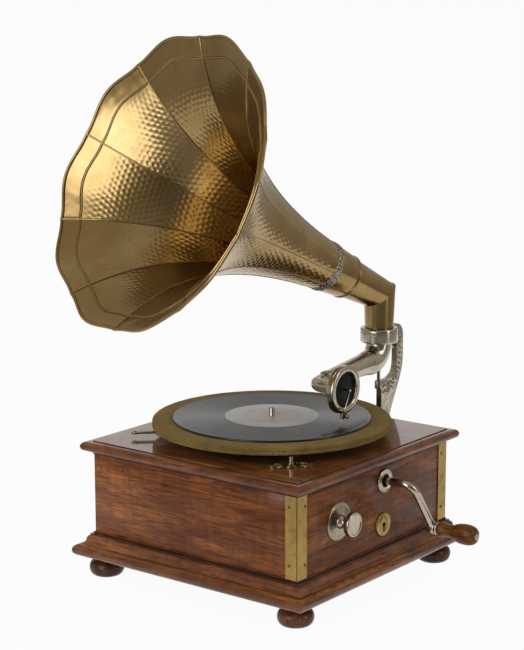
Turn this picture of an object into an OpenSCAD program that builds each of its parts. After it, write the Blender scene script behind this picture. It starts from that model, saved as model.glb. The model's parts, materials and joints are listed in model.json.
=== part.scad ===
// Table gramophone: a moulded wooden case with a spring motor, a swinging tone arm and a petalled brass horn.
// Millimetres, Z up. The origin lies on the turntable's axis, level with the undersides of the feet.

/* [Case] */
// Outside width of the square case
case_w = 315; // [305:1:340]
// Thickness of the side panels
panel_t = 12; // [9:1:14]
// Height of the side panels between the two mouldings
panel_h = 100; // [97:1:112]
// Height of the base moulding
base_h = 31; // [29:1:36]
// Thickness of the top board with its nosing and fillet
top_h = 17; // [16:0.5:20]
// How far the top board's nosing stands out beyond the panels
top_over = 12.5; // [9:0.5:16]
// How far the base moulding's nosing stands out beyond the panels
base_over = 21.5; // [17:0.5:26]
// Thickness of the bottom board
floor_t = 8; // [5:1:9]
// Height of the bun feet
foot_h = 26; // [22:1:30]
// Widest diameter of the bun feet
foot_d = 45; // [38:1:50]
// Width of each leg of the brass corner strips
strip_w = 17; // [14:1:24]
// Thickness of the brass corner strips
strip_t = 0.9; // [0.6:0.1:1.5]

/* [Turntable] */
// Diameter of the turntable over its felt
platter_d = 300; // [285:1:306]
// Gap between the top board and the turntable's rim
platter_gap = 13; // [12:0.5:18]
// Height of the turntable's rim with its felt
rim_h = 9; // [7:0.5:14]
// Thickness of the turntable's pressed steel
platter_t = 2.2; // [1.6:0.1:3]
// Thickness of the felt
felt_t = 1.5; // [1:0.1:2.5]
// Diameter of the record
record_d = 250; // [200:1:270]
// Thickness of the record
record_t = 2.6; // [1.8:0.1:3.5]
// Diameter of the record's paper label
label_d = 118; // [75:1:120]
// Diameter of the spindle
spindle_d = 7.2; // [6.8:0.1:7.6]
// Height of the spindle above the record
spindle_up = 11; // [8:0.5:16]

/* [Tone arm] */
// Sideways place of the arm's pivot
pivot_x = 40; // [30:1:50]
// Distance of the pivot behind the top board's nosing
pivot_out = 8; // [7:0.5:14]
// Turn of the arm towards the crank side, degrees
arm_yaw = 0; // [-2:0.5:6]
// Slope of the arm down to the sound box, degrees
arm_droop = 3; // [0:0.5:5]
// Distance from the pivot to the middle of the crook's bend
arm_len = 146; // [140:1:152]
// Outside diameter of the arm at its elbow
arm_d = 33; // [30:0.5:35]
// Outside diameter of the arm at its front end
arm_tip_d = 19.5; // [18:0.5:22]
// Radius of the elbow's centre line
elbow_bend_r = 24; // [21:1:28]
// Outside diameter of the crook
crook_d = 17; // [15.5:0.5:18.5]
// Radius of the crook's centre line
crook_bend_r = 15; // [13.5:0.5:17]
// Wall of the sound tubes
tube_t = 1.2; // [0.8:0.1:1.6]
// Diameter of the lower pivot pin
pivot_pin_d = 4.8; // [4:0.2:6]

/* [Sound box] */
// Diameter of the sound box
box_d = 60; // [52:1:66]
// Depth of the sound box
box_t = 12; // [10:0.5:15]
// Diameter of the opening over the diaphragm
box_open_d = 43; // [34:1:46]
// Distance from the middle of the sound box to the needle's tip
needle_reach = 43.6; // [40:0.2:48]
// Lean of the needle from upright, degrees
needle_lean = 26; // [20:1:32]

/* [Horn] */
// Height of the horn's mitred elbow above the top board
horn_up = 158; // [150:1:170]
// Turn of the horn away from straight ahead, degrees
horn_turn = 15.4; // [0:0.2:30]
// Rise of the horn's axis, degrees
horn_rise = 26.5; // [20:0.5:34]
// Distance along the axis from the elbow to the mouth at its seams
horn_len = 384; // [350:1:420]
// Radius of the mouth at its seams
mouth_r = 180.4; // [150:0.2:195]
// Radius of the horn where the petals start
neck_r = 31; // [29:0.5:34]
// Distance along the axis from the elbow to the start of the petals
petal_start = 106; // [96:1:116]
// Growth of the radius per millimetre at the start of the flare
flare_rate = 0.0037; // [0.003:0.0001:0.0045]
// Number of petals
petals = 10; // [6:1:14]
// Extra length of each petal at its middle
lobe = 4; // [0:0.2:8]
// Outward bulge of each petal at the mouth, as a part of the radius
flute = 0.013; // [0:0.001:0.03]
// Flatness of the petals across, from round to panels
petal_flat = 0.5; // [0:0.05:1]
// Distance along the axis from the bead line to the rim
bead_back = 13.5; // [9:0.5:20]
// Lean of the mouth's top edge along the axis
mouth_lean_top = 10; // [-4:0.5:12]
// Lean of the mouth's side along the axis
mouth_lean_side = -6.5; // [-10:0.5:4]
// Thickness of the horn's sheet
sheet_t = 1; // [0.8:0.1:1.5]
// Diameter of the rolled rim
rim_d = 4; // [3:0.2:6]
// Outside diameter of the horn's tube in the collar
horn_tube_d = 37.5; // [36:0.5:40]

/* [Crank and fittings] */
// Place of the crank's axis along the panel, towards the back
crank_y = 18.5; // [10:0.5:26]
// Depth of the crank's axis below the top of the board
crank_drop = 36.4; // [35:0.2:38]
// Diameter of the crank's rod
crank_d = 9.5; // [8.5:0.5:10.5]
// Reach of the crank's rod outside the panel
crank_out = 42; // [36:1:52]
// Distance between the crank's axis and its grip
crank_throw = 78; // [66:1:90]
// Turn of the crank at rest from straight down, degrees
crank_rest = 36; // [0:1:60]
// Widest diameter of the wooden grip
grip_d = 25.5; // [22:0.5:30]
// Length of the wooden grip
grip_len = 53; // [46:1:62]
// Diameter of the crank's flange and of the keyhole plate
flange_d = 30; // [26:1:34]
// Place of the keyhole along the panel
keyhole_y = 16.6; // [8:0.2:26]
// Depth of the keyhole below the top of the board
keyhole_drop = 91.6; // [86:0.2:94]
// Place of the speed knob along the panel
knob_y = -76; // [-84:1:-72]
// Depth of the speed knob below the top of the board
knob_drop = 65; // [62:0.5:68]
// Diameter of the speed dial
dial_d = 47; // [40:1:54]
// Diameter of the speed knob
knob_d = 30; // [24:1:34]
// Distance from the panel to the knob's face
knob_out = 24; // [20:0.5:30]

/* [Motor] */
// Module of the going train's gears
gear_module = 1; // [0.95:0.01:1.05]
// Teeth of the two pinions
pinion_teeth = 12; // [10:1:12]
// Teeth of the intermediate wheel
wheel_teeth = 60; // [56:1:60]
// Teeth of the great wheel on the spring barrel
great_teeth = 72; // [68:1:74]
// Teeth of the worm wheel on the spindle
worm_teeth = 60; // [56:1:60]
// Threads of the governor's worm
worm_starts = 6; // [5:1:6]
// Teeth of the bevel pinion on the crank
bevel_small = 14; // [12:1:14]
// Teeth of the bevel wheel on the spring's arbor
bevel_large = 28; // [24:1:30]
// Height of the spring barrel
barrel_h = 25; // [20:1:26]

/* [Clearances] */
// Radial clearance of a turning shaft in its hole
running = 0.05; // [0.03:0.01:0.09]
// Gap between pieces that are fixed to each other
seat = 0.05; // [0.02:0.01:0.1]
// Gap between moving pieces that pass each other
pass = 0.5; // [0.4:0.05:0.8]
// Gap between the needle's tip and the record
needle_gap = 0.4; // [0.35:0.05:0.6]

/* [Hidden] */
$fn = 48;
brass = "#a8843c";
nickel = "#a9a39a";
mahogany = "#6e3219";
steel = "#8c8f92";
leather = "#4a3020";
half = case_w / 2;
panel_z = foot_h + base_h;
top_z = panel_z + panel_h;
board_z = top_z + top_h;
inner = half - panel_t;
base_ledge = 8;
rim_z = board_z + platter_gap;
felt_z = rim_z + rim_h;
record_z = felt_z + record_t;
label_t = 0.15;
spindle_r = spindle_d / 2;
hub_bore_r = spindle_r + 1;
platter_r = platter_d / 2 - felt_t - seat;
rim_in_r = platter_r - platter_t;
pivot_y = half + top_over + pivot_out;
arm_z = record_z + needle_reach * cos(needle_lean) + needle_gap;
arm_r = arm_d / 2;
spigot_r = crook_d / 2 - tube_t - 0.8;
joint_len = 12;
arm_t = 2.4;
elbow_z = arm_z + (arm_len - elbow_bend_r) * sin(arm_droop);
cone_end = arm_len - crook_bend_r - joint_len;
collar_h = 19;
collar_r = horn_tube_d / 2 + 5.8;
collar_z = elbow_z + elbow_bend_r + pass;
collar_step = collar_z + collar_h / 2;
box_front = 52;
box_back = box_front - box_t;
bar_z = 4.2;
chuck_from = box_d / 2 - 2;
chuck_to = box_d / 2 + 6;
chuck_r = 3.6;
boss_z = arm_z - 22;
horn_z = board_z + horn_up;
ring_s = 68;
elbow_r = 20.8;
elbow_end_r = neck_r - 4.3;
flare_gain = (ln(mouth_r / neck_r) - flare_rate * (horn_len - petal_start)) / pow(horn_len - petal_start, 2);
petal_angle = 360 / petals;
flat_over = 40;
seam_phase = 4.2;
seam_w = 1.6;
seam_h = 1;
rim_r = rim_d / 2;
crank_z = board_z - crank_drop;
crank_r = crank_d / 2;
crank_x = half + crank_out;
grip_pin_r = 3;
ferrule_len = 4;
grip_from = crank_x + crank_r + pass;
knob_z = board_z - knob_drop;
keyhole_z = board_z - keyhole_drop;
flange_t = 3;
sleeve_r = crank_r + 3.2;
knob_shaft_r = 4;
dial_boss_r = knob_shaft_r + running + 1.5;
dial_t = 2;
bevel_module = 1.5;
tooth_play = 0.12;
bevel_face = 0.3;
bevel_small_r = bevel_module * bevel_small / 2;
bevel_large_r = bevel_module * bevel_large / 2;
barrel_x = 75;
winding_from = barrel_x + (1 - bevel_face) * bevel_large_r;
plate_t = 3;
upper_z = crank_z - 25;
lower_z = upper_z - 44;
great_z = lower_z + plate_t + 3;
great_t = 3;
barrel_z = great_z + great_t;
wheel_z = upper_z - 7;
wheel_t = 3;
worm_z = upper_z - 21;
worm_wheel_t = 6;
spindle_gear_r = gear_module * pinion_teeth / 2;
wheel_r = gear_module * wheel_teeth / 2;
great_r = gear_module * great_teeth / 2;
worm_wheel_r = gear_module * worm_teeth / 2;
worm_r = 6;
worm_lead = PI * gear_module * worm_starts;
barrel_r = great_r - 3.5;
barrel_wall = 1.5;
barrel_end = 2;
near_gap = spindle_gear_r + wheel_r;
far_gap = spindle_gear_r + great_r;
barrel_far = norm([barrel_x, crank_y]);
mid_turn = atan2(crank_y, barrel_x)
    + acos((near_gap * near_gap + barrel_far * barrel_far - far_gap * far_gap) / (2 * near_gap * barrel_far));
mid_x = near_gap * cos(mid_turn);
mid_y = near_gap * sin(mid_turn);
mid_mesh_turn = atan2(crank_y - mid_y, barrel_x - mid_x);
wheel_mesh_turn = mid_turn + 180 + 180 / wheel_teeth;
great_mesh_turn = mid_mesh_turn + 180 + 180 / great_teeth;
arbor_r = 4;
mid_r = 2.5;
governor_y = -worm_wheel_r - worm_r;
governor_r = 2;
governor_from = -16;
governor_to = 96;
disc_x = 80;
spring_from = 28;
spring_r = 5;
spring_t = 0.5;
disc_r = 14;
disc_t = 2;
pad_gap = 2.1;
lever_x = disc_x + disc_t + 7;
lever_t = 3;
cam_x = lever_x + 26;
cam_throw = 3;
cam_pin_r = 1.5;
cam_play = 0.4;
lever_pin_r = 2;
plate_x = [-52, 116];
plate_y = [-98, 66];
pillar_in = 9;
pillar_r = 4;
brake_turn = 222.7;
brake_pivot_r = 121;
brake_up = 5;
brake_t = 2.4;
brake_pin_r = 2.5;
brake_pad_r = 4;
brake_spread = 28;
brake_pad_h = rim_h - felt_t - seat - platter_t - pass;
brake_post_r = 1.5;
brake_lift = 0.15;
pad_ring_r = rim_in_r - brake_pad_r - pass;
brake_reach = sqrt(pow(pad_ring_r, 2) - pow(brake_pivot_r * sin(brake_spread), 2))
    - brake_pivot_r * cos(brake_spread);
stop_turn = -44;
stop_r = platter_d / 2 + 1;
bracket_t = 8;
foot_plate_t = 6;

// A point at a radius and an angle.
function polar(r, a) = r * [cos(a), sin(a)];

// Points along a circular arc, both ends included.
function arc(c, r, from, to, steps = 6) =
    [for (i = [0:steps]) c + polar(r, from + (to - from) * i / steps)];

// Points along a cubic curve, both ends included.
function curve(a, b, c, d, steps = 8) =
    [for (i = [0:steps]) let (t = i / steps, u = 1 - t)
        u * u * u * a + 3 * u * u * t * b + 3 * u * t * t * c + t * t * t * d];

// A square block whose four edges all carry the same moulding. The edge is a list of [half width, height].
module moulded_block(edge) {
    outline = concat(edge, [for (i = [len(edge) - 1:-1:0]) [-edge[i][0], edge[i][1]]]);
    reach = 4 * half;
    intersection() {
        rotate([90, 0, 0]) linear_extrude(reach, center = true) polygon(outline);
        rotate([90, 0, 90]) linear_extrude(reach, center = true) polygon(outline);
    }
}

// A turned piece with its axis along X, from an outline of [radius, distance].
module turned_x(place, outline) {
    translate(place) rotate([0, 90, 0]) rotate_extrude() polygon(outline);
}

// A plain rod with its axis along X.
module rod_x(place, from, to, r) {
    translate([from, place[0], place[1]]) rotate([0, 90, 0]) cylinder(h = to - from, r = r);
}

// Half angle of an involute tooth at a radius.
function flank(r, base_r, pitch_half) =
    let (rr = max(r, base_r), a = acos(base_r / rr))
    pitch_half - (tan(a) * 180 / PI - a);

// Outline of a spur gear with stub teeth, thinned by the play on each flank.
function gear_outline(teeth, m, play) =
    let (pr = m * teeth / 2, base_r = pr * cos(20), root_r = pr - 1.05 * m, tip_r = pr + 0.7 * m,
        involute = tan(20) * 180 / PI - 20,
        pitch_half = 90 / teeth + involute - play / pr * 180 / PI,
        radii = [root_r, max(root_r, base_r) + 0.05 * m, pr, tip_r])
    [for (i = [0:teeth - 1]) let (a = i * 360 / teeth) each concat(
        [for (r = radii) polar(r, a - flank(r, base_r, pitch_half))],
        [for (k = [3:-1:0]) polar(radii[k], a + flank(radii[k], base_r, pitch_half))])];

// A spur gear with a bore, standing on z.
module spur(teeth, z, t, bore, turn = 0) {
    translate([0, 0, z]) difference() {
        rotate([0, 0, turn]) linear_extrude(t) polygon(gear_outline(teeth, gear_module, tooth_play));
        translate([0, 0, -1]) cylinder(h = t + 2, r = bore);
    }
}

module feet() {
    r = foot_d / 2;
    neck = 0.62 * r;
    collar = 3;
    side = curve([0.64 * r, 0], [1.02 * r, 0], [1.1 * r, 0.36 * foot_h], [r, 0.45 * foot_h]);
    shoulder = curve([r, 0.45 * foot_h], [0.92 * r, 0.66 * foot_h],
        [0.8 * r, 0.76 * foot_h], [neck, 0.8 * foot_h]);
    cap = [[neck, foot_h - collar], [0.72 * r, foot_h - collar], [0.72 * r, foot_h], [0, foot_h]];
    place = half - 9.5;
    color(mahogany) for (x = [-1, 1], y = [-1, 1]) translate([x * place, y * place, 0])
        rotate_extrude() polygon(concat([[0, 0]], side, [for (i = [1:len(shoulder) - 1]) shoulder[i]], cap));
}

module base_moulding() {
    nose_r = 7.5;
    nose = arc([half + base_over - nose_r, foot_h + nose_r], nose_r, -90, 90, 8);
    cove_top = panel_z - 4.6;
    cove = curve([half + 13.8, foot_h + 2 * nose_r], [half + 9, foot_h + 2 * nose_r + 4],
        [half + 8, cove_top - 4], [half + 4.8, cove_top], 6);
    fillet = [[half + 4.8, panel_z - 2.8], [half + 1.5, panel_z - 2.8], [half + 1.5, panel_z]];
    edge = concat(nose, cove, fillet);
    hollow = 2 * (inner - base_ledge);
    color(mahogany) difference() {
        moulded_block(edge);
        translate([-hollow / 2, -hollow / 2, foot_h - 1]) cube([hollow, hollow, base_h + 2]);
    }
}

module bottom_board() {
    color("#7a4a2a") translate([-inner, -inner, panel_z]) cube([2 * inner, 2 * inner, floor_t]);
}

module front_panel() {
    color(mahogany) translate([-half, -half, panel_z]) cube([case_w, panel_t, panel_h]);
}

module back_panel() {
    color(mahogany) translate([-half, half - panel_t, panel_z]) cube([case_w, panel_t, panel_h]);
}

module left_panel() {
    color(mahogany) translate([-half, -inner, panel_z]) cube([panel_t, 2 * inner, panel_h]);
}

module keyhole_outline() {
    circle(r = 3);
    translate([-1.6, -9]) square([3.2, 9]);
}

module right_panel() {
    color(mahogany) difference() {
        translate([inner, -inner, panel_z]) cube([panel_t, 2 * inner, panel_h]);
        rod_x([crank_y, crank_z], inner - 1, half + 1, sleeve_r + seat);
        rod_x([knob_y, knob_z], inner - 1, half + 1, dial_boss_r + seat);
        translate([inner - 1, keyhole_y, keyhole_z]) rotate([90, 0, 90])
            linear_extrude(panel_t + 2) keyhole_outline();
    }
}

module top_board() {
    fillet_h = 4;
    step = 1.2;
    nose_r = (top_h - fillet_h - step) / 2;
    nose = arc([half + top_over - nose_r, top_z + fillet_h + nose_r], nose_r, -90, 90, 8);
    cove = arc([half + 4.5, top_z], 3.5, 180, 90, 4);
    edge = concat(cove, [[half + 4.5, top_z + fillet_h]], nose,
        [[half + 1, board_z - step], [half + 1, board_z]]);
    color(mahogany) difference() {
        moulded_block(edge);
        translate([0, 0, top_z - 1]) cylinder(h = top_h + 2, r = spindle_r + 3);
    }
}

module corner_strips() {
    color(brass) for (side = [-1, 1]) {
        translate([half, side < 0 ? -half - strip_t : half - strip_w, panel_z])
            cube([strip_t, strip_w + strip_t, panel_h]);
        translate([half - strip_w, side < 0 ? -half - strip_t : half, panel_z])
            cube([strip_w, strip_t, panel_h]);
    }
}

module crank_bush() {
    r = flange_d / 2;
    bore = crank_r + running;
    outline = concat([[bore, -panel_t - 5], [sleeve_r, -panel_t - 5], [sleeve_r, 0], [r, 0], [r, 1]],
        arc([r - 2, 1], 2, 0, 90, 4), [[bore + 3, flange_t], [bore + 2, flange_t + 3], [bore, flange_t + 3]]);
    color(nickel) turned_x([half, crank_y, crank_z], outline);
}

module keyhole_plate() {
    r = flange_d / 2;
    color(brass) difference() {
        turned_x([half, keyhole_y, keyhole_z],
            concat([[0, 0], [r, 0], [r, 0.6]], arc([r - 1.6, 0.6], 1.6, 0, 90, 4), [[0, 2.2]]));
        translate([half - 1, keyhole_y, keyhole_z]) rotate([90, 0, 90]) linear_extrude(5) keyhole_outline();
    }
}

module dial_plate() {
    r = dial_d / 2;
    bore = knob_shaft_r + running;
    dome = curve([r, 0.6], [r - 1, 1.6], [r * 0.6, dial_t], [r * 0.45, dial_t], 5);
    color(nickel) turned_x([half, knob_y, knob_z],
        concat([[bore, -2], [dial_boss_r, -2], [dial_boss_r, 0], [r, 0]], dome, [[bore, dial_t]]));
}

module motor_upper_plate() {
    color(steel) translate([0, 0, upper_z]) difference() {
        motor_plate();
        translate([0, 0, -1]) cylinder(h = plate_t + 2, r = spindle_r + running);
        translate([barrel_x, crank_y, -1]) cylinder(h = plate_t + 2, r = arbor_r + running);
        translate([mid_x, mid_y, -1]) cylinder(h = plate_t + 2, r = mid_r + running);
    }
}

module motor_lower_plate() {
    color(steel) translate([0, 0, lower_z]) difference() {
        motor_plate();
        translate([0, 0, -1]) cylinder(h = plate_t + 2, r = spindle_r + running);
        translate([barrel_x, crank_y, -1]) cylinder(h = plate_t + 2, r = arbor_r + running);
        translate([mid_x, mid_y, -1]) cylinder(h = plate_t + 2, r = mid_r + running);
        translate([lever_x, knob_y, -1]) cylinder(h = plate_t + 2, r = lever_pin_r + running);
    }
}

module motor_plate() {
    corner = 6;
    linear_extrude(plate_t) {
        translate([plate_x[0], plate_y[0] + corner])
            square([plate_x[1] - plate_x[0], plate_y[1] - plate_y[0] - 2 * corner]);
        translate([plate_x[0] + corner, plate_y[0]])
            square([plate_x[1] - plate_x[0] - 2 * corner, plate_y[1] - plate_y[0]]);
        for (x = [plate_x[0] + corner, plate_x[1] - corner], y = [plate_y[0] + corner, plate_y[1] - corner])
            translate([x, y]) circle(r = corner);
    }
}

module at_plate_corners() {
    xs = [plate_x[0] + pillar_in, plate_x[1] - pillar_in];
    ys = [plate_y[0] + pillar_in, plate_y[1] - pillar_in];
    for (x = xs, y = ys) translate([x, y, 0]) children();
}

module motor_pillars() {
    color(steel) at_plate_corners() {
        translate([0, 0, lower_z + plate_t]) cylinder(h = upper_z - lower_z - plate_t, r = pillar_r);
        translate([0, 0, upper_z + plate_t]) cylinder(h = top_z - upper_z - plate_t, r = pillar_r + 1);
    }
}

// A post with a cross bore along X for a shaft at height z, standing at height from.
module bearing_post(x, y, z, from, w, bore) {
    difference() {
        union() {
            translate([x, y - w, from]) cube([w, 2 * w, z - from]);
            rod_x([y, z], x, x + w, w);
        }
        rod_x([y, z], x - 1, x + w + 1, bore);
    }
}

module motor_bearings() {
    color(steel) {
        bearing_post(winding_from + 12, crank_y, crank_z, upper_z + plate_t, 8, crank_r + running);
        for (x = [governor_from - 1, governor_to - 4])
            bearing_post(x, governor_y, worm_z, lower_z + plate_t, 5, governor_r + running);
    }
}

module at_brake() {
    rotate([0, 0, brake_turn]) translate([brake_pivot_r, 0, board_z]) children();
}

// Brake lever's pivot: a washer, a pin and its head.
module brake_pivot() {
    color(brass) at_brake() {
        cylinder(h = brake_up, r = 6);
        cylinder(h = brake_up + brake_t + 1, r = brake_pin_r);
        translate([0, 0, brake_up + brake_t + 0.3]) cylinder(h = 2, r = 4.5);
    }
}

module brake_lever() {
    tip = 54;
    color(brass) at_brake() translate([0, 0, brake_up + brake_lift]) {
        difference() {
            linear_extrude(brake_t) {
                circle(r = 7);
                polygon(concat([[0, -6], [0, 6]], curve([8, 5], [24, 2.5], [34, 2.5], [tip - 8, 3.5], 5),
                    curve([tip - 8, -3.5], [34, -2.5], [24, -2.5], [8, -5], 5)));
                translate([tip - 4, 0]) circle(r = 5);
                rotate([0, 0, brake_spread]) translate([0, -4]) square([brake_reach, 8]);
                rotate([0, 0, brake_spread]) translate([brake_reach, 0]) circle(r = 4);
            }
            translate([0, 0, -1]) cylinder(h = brake_t + 2, r = brake_pin_r + running);
            translate([tip - 4, 0, -1]) cylinder(h = brake_t + 2, r = 2.2);
        }
        rotate([0, 0, brake_spread]) translate([brake_reach, 0, 0])
            cylinder(h = platter_gap - brake_up - brake_lift + brake_pad_h, r = brake_post_r);
    }
}

// Leather roller that bears on the inside of the turntable's rim.
module brake_pad() {
    color(leather) at_brake() rotate([0, 0, brake_spread]) translate([brake_reach, 0, platter_gap])
        difference() {
            cylinder(h = brake_pad_h, r = brake_pad_r);
            translate([0, 0, -1]) cylinder(h = brake_pad_h + 2, r = brake_post_r + seat);
        }
}

module stop_plate() {
    plate = 1.6;
    color(brass) rotate([0, 0, stop_turn]) translate([stop_r, 0, board_z]) {
        linear_extrude(plate) {
            translate([-6, -20]) square([12, 40]);
            for (y = [-1, 1]) {
                translate([0, y * 20]) circle(r = 8);
                translate([-2, y * 10]) circle(r = 7);
            }
            circle(r = 9);
        }
        translate([0, 0, plate]) cylinder(h = 2.5, r = 4);
        translate([0, 0, plate]) cylinder(h = platter_gap - plate - pass, r = 2.6);
    }
}

module spindle() {
    shoulder = upper_z + plate_t + 0.3;
    seat_z = board_z + 6;
    crown_r = 2;
    lower = [[0, lower_z], [spindle_r, lower_z], [spindle_r, shoulder], [6, shoulder], [6, shoulder + 3],
        [spindle_r, shoulder + 3]];
    hub = [[spindle_r, seat_z - 2], [9, seat_z - 2], [9, seat_z], [hub_bore_r, seat_z], [hub_bore_r, felt_z],
        [spindle_r, felt_z]];
    crown = arc([spindle_r - crown_r, record_z + spindle_up - crown_r], crown_r, 0, 90, 4);
    color(steel) {
        rotate_extrude() polygon(concat(lower, hub, crown, [[0, record_z + spindle_up]]));
        spur(pinion_teeth, wheel_z - 1, wheel_t + 2, 1, mid_turn);
    }
}

module worm_wheel() {
    lead_angle = atan(worm_lead / (2 * PI * worm_r));
    twist = worm_wheel_t * tan(lead_angle) / worm_wheel_r * 180 / PI;
    color(brass) translate([0, 0, worm_z - worm_wheel_t / 2]) difference() {
        rotate([0, 0, -twist / 2]) linear_extrude(worm_wheel_t, twist = -twist, slices = 2)
            polygon(worm_wheel_outline());
        translate([0, 0, -1]) cylinder(h = worm_wheel_t + 2, r = spindle_r + seat);
    }
}

// Outline of the worm wheel: trapezium teeth with a tooth facing the worm.
function worm_wheel_outline() =
    let (root_r = worm_wheel_r - 1.1, tip_r = worm_wheel_r + 0.8, step = 360 / worm_teeth)
    [for (i = [0:worm_teeth - 1]) let (a = i * step - 90)
        each [polar(root_r, a - 0.32 * step), polar(tip_r, a - 0.12 * step),
            polar(tip_r, a + 0.12 * step), polar(root_r, a + 0.32 * step)]];

module platter() {
    hub_r = 14;
    hub_z = board_z + 6;
    top = felt_z - felt_t - seat;
    under = top - platter_t;
    bore = hub_bore_r + seat;
    color(steel) rotate_extrude() polygon([[bore, hub_z], [hub_r, hub_z], [hub_r, under], [rim_in_r, under],
        [rim_in_r, rim_z], [platter_r, rim_z], [platter_r, top], [bore, top]]);
}

module felt() {
    r = platter_d / 2;
    bend = 1.4;
    under = felt_z - felt_t;
    bore = hub_bore_r + seat;
    color("#7d6a34") rotate_extrude() polygon(concat(
        [[platter_r + seat, rim_z], [r, rim_z]], arc([r - bend, felt_z - bend], bend, 0, 90, 4),
        [[bore, felt_z], [bore, under], [platter_r + seat, under]]));
}

module record() {
    r = record_d / 2;
    edge = 0.8;
    bore = spindle_r + seat;
    color("#1c1c1e") translate([0, 0, felt_z]) rotate_extrude() polygon([[bore, 0], [r - edge, 0], [r, edge],
        [r, record_t - edge], [r - edge, record_t], [bore, record_t]]);
}

module record_label() {
    color("#8d8a88") translate([0, 0, record_z]) difference() {
        cylinder(h = label_t, r = label_d / 2);
        translate([0, 0, -1]) cylinder(h = label_t + 2, r = spindle_r + 0.3);
    }
}

module intermediate_arbor() {
    color(steel) translate([mid_x, mid_y, 0]) {
        translate([0, 0, lower_z]) cylinder(h = upper_z + plate_t - lower_z, r = mid_r);
        spur(pinion_teeth, great_z - 1, great_t + 2, 1, mid_mesh_turn);
    }
}

module intermediate_wheel() {
    color(brass) translate([mid_x, mid_y, 0])
        spur(wheel_teeth, wheel_z, wheel_t, mid_r + seat, wheel_mesh_turn);
}

module great_wheel() {
    color(brass) translate([barrel_x, crank_y, 0])
        spur(great_teeth, great_z, great_t, arbor_r + running, great_mesh_turn);
}

module spring_barrel() {
    in_r = barrel_r - barrel_wall;
    bore = arbor_r + running;
    color(steel) translate([barrel_x, crank_y, barrel_z]) rotate_extrude() polygon([[bore, 0], [barrel_r, 0],
        [barrel_r, barrel_h], [in_r, barrel_h], [in_r, barrel_end], [bore, barrel_end]]);
}

module barrel_cover() {
    color(steel) translate([barrel_x, crank_y, barrel_z + barrel_h - barrel_end]) difference() {
        cylinder(h = barrel_end, r = barrel_r - barrel_wall - seat);
        translate([0, 0, -1]) cylinder(h = barrel_end + 2, r = arbor_r + running);
    }
}

module mainspring() {
    turns = 6;
    strip = 0.8;
    side_gap = 0.3;
    from_r = arbor_r + 2;
    to_r = barrel_r - barrel_wall - strip - 0.7;
    steps = turns * 18;
    function spiral(extra) =
        [for (i = [0:steps]) polar(from_r + (to_r - from_r) * i / steps + extra, i * 20)];
    outer = spiral(strip);
    color("#5b6470") translate([barrel_x, crank_y, barrel_z + barrel_end + side_gap])
        linear_extrude(barrel_h - 2 * (barrel_end + side_gap))
            polygon(concat(spiral(0), [for (i = [steps:-1:0]) outer[i]]));
}

module barrel_arbor() {
    color(steel) translate([barrel_x, crank_y, lower_z]) {
        cylinder(h = crank_z - bevel_small_r - lower_z + 2, r = arbor_r);
        translate([0, 0, upper_z + plate_t + 0.3 - lower_z]) cylinder(h = 3, r = 8);
    }
}

// A bevel gear with its axis on Z, its pitch circle at z = 0 and its teeth closing towards [0, 0, reach].
module bevel(teeth, r, reach, bore, turn) {
    face = bevel_face * reach;
    difference() {
        rotate([0, 0, turn]) linear_extrude(face, scale = 1 - bevel_face)
            polygon(bevel_outline(teeth, r, reach));
        translate([0, 0, -1]) cylinder(h = face + 2, r = bore);
    }
}

// Outline of a bevel gear at its large end. Its teeth stand square to the pitch cone.
function bevel_outline(teeth, r, reach) =
    let (step = 360 / teeth, slant = sqrt(r * r + reach * reach) / reach,
        root_r = r - 1.3 * slant, tip_r = r + 0.8 * slant)
    [for (i = [0:teeth - 1]) let (a = i * step)
        each [polar(root_r, a - 0.33 * step), polar(tip_r, a - 0.11 * step),
            polar(tip_r, a + 0.11 * step), polar(root_r, a + 0.33 * step)]];

module bevel_wheel() {
    from = upper_z + plate_t + 3.3;
    to = crank_z - bevel_small_r;
    color(brass) translate([barrel_x, crank_y, to]) {
        bevel(bevel_large, bevel_large_r, bevel_small_r, arbor_r + seat, 0);
        translate([0, 0, from - to]) difference() {
            cylinder(h = to - from, r = 9);
            translate([0, 0, -1]) cylinder(h = to - from + 2, r = arbor_r + seat);
        }
    }
}

// Shaft inside the case that the crank screws into, with the bevel pinion at its inner end.
module winding_shaft() {
    color(steel) translate([0, crank_y, crank_z]) {
        rod_x([0, 0], winding_from, half - panel_t - 6, crank_r);
        translate([barrel_x + bevel_large_r, 0, 0]) rotate([0, -90, 0])
            bevel(bevel_small, bevel_small_r, bevel_large_r, 1, 180 / bevel_small);
    }
}

module at_crank() {
    translate([0, crank_y, crank_z]) rotate([crank_rest, 0, 0]) children();
}

module crank_arm() {
    bend = 14;
    eye_r = crank_r + 3;
    color(nickel) at_crank() {
        rod_x([0, 0], half - panel_t - 6 + seat, crank_x - bend, crank_r);
        translate([crank_x - bend, 0, -bend]) rotate([90, 0, 0]) rotate_extrude(angle = 90)
            translate([bend, 0]) circle(r = crank_r);
        translate([crank_x, 0, -crank_throw]) cylinder(h = crank_throw - bend, r = crank_r);
        rod_x([0, -crank_throw], crank_x - crank_r, crank_x + crank_r, eye_r);
        rod_x([0, -crank_throw], crank_x, grip_from + ferrule_len + grip_len + 2, grip_pin_r);
    }
}

module grip_ferrule() {
    bore = grip_pin_r + running;
    r = 0.32 * grip_d;
    outline = [[bore, 0], [r - 1, 0], [r, 0.3 * ferrule_len], [r, 0.7 * ferrule_len], [r - 1, ferrule_len],
        [bore, ferrule_len]];
    color(nickel) at_crank() turned_x([grip_from, 0, -crank_throw], outline);
}

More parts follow.
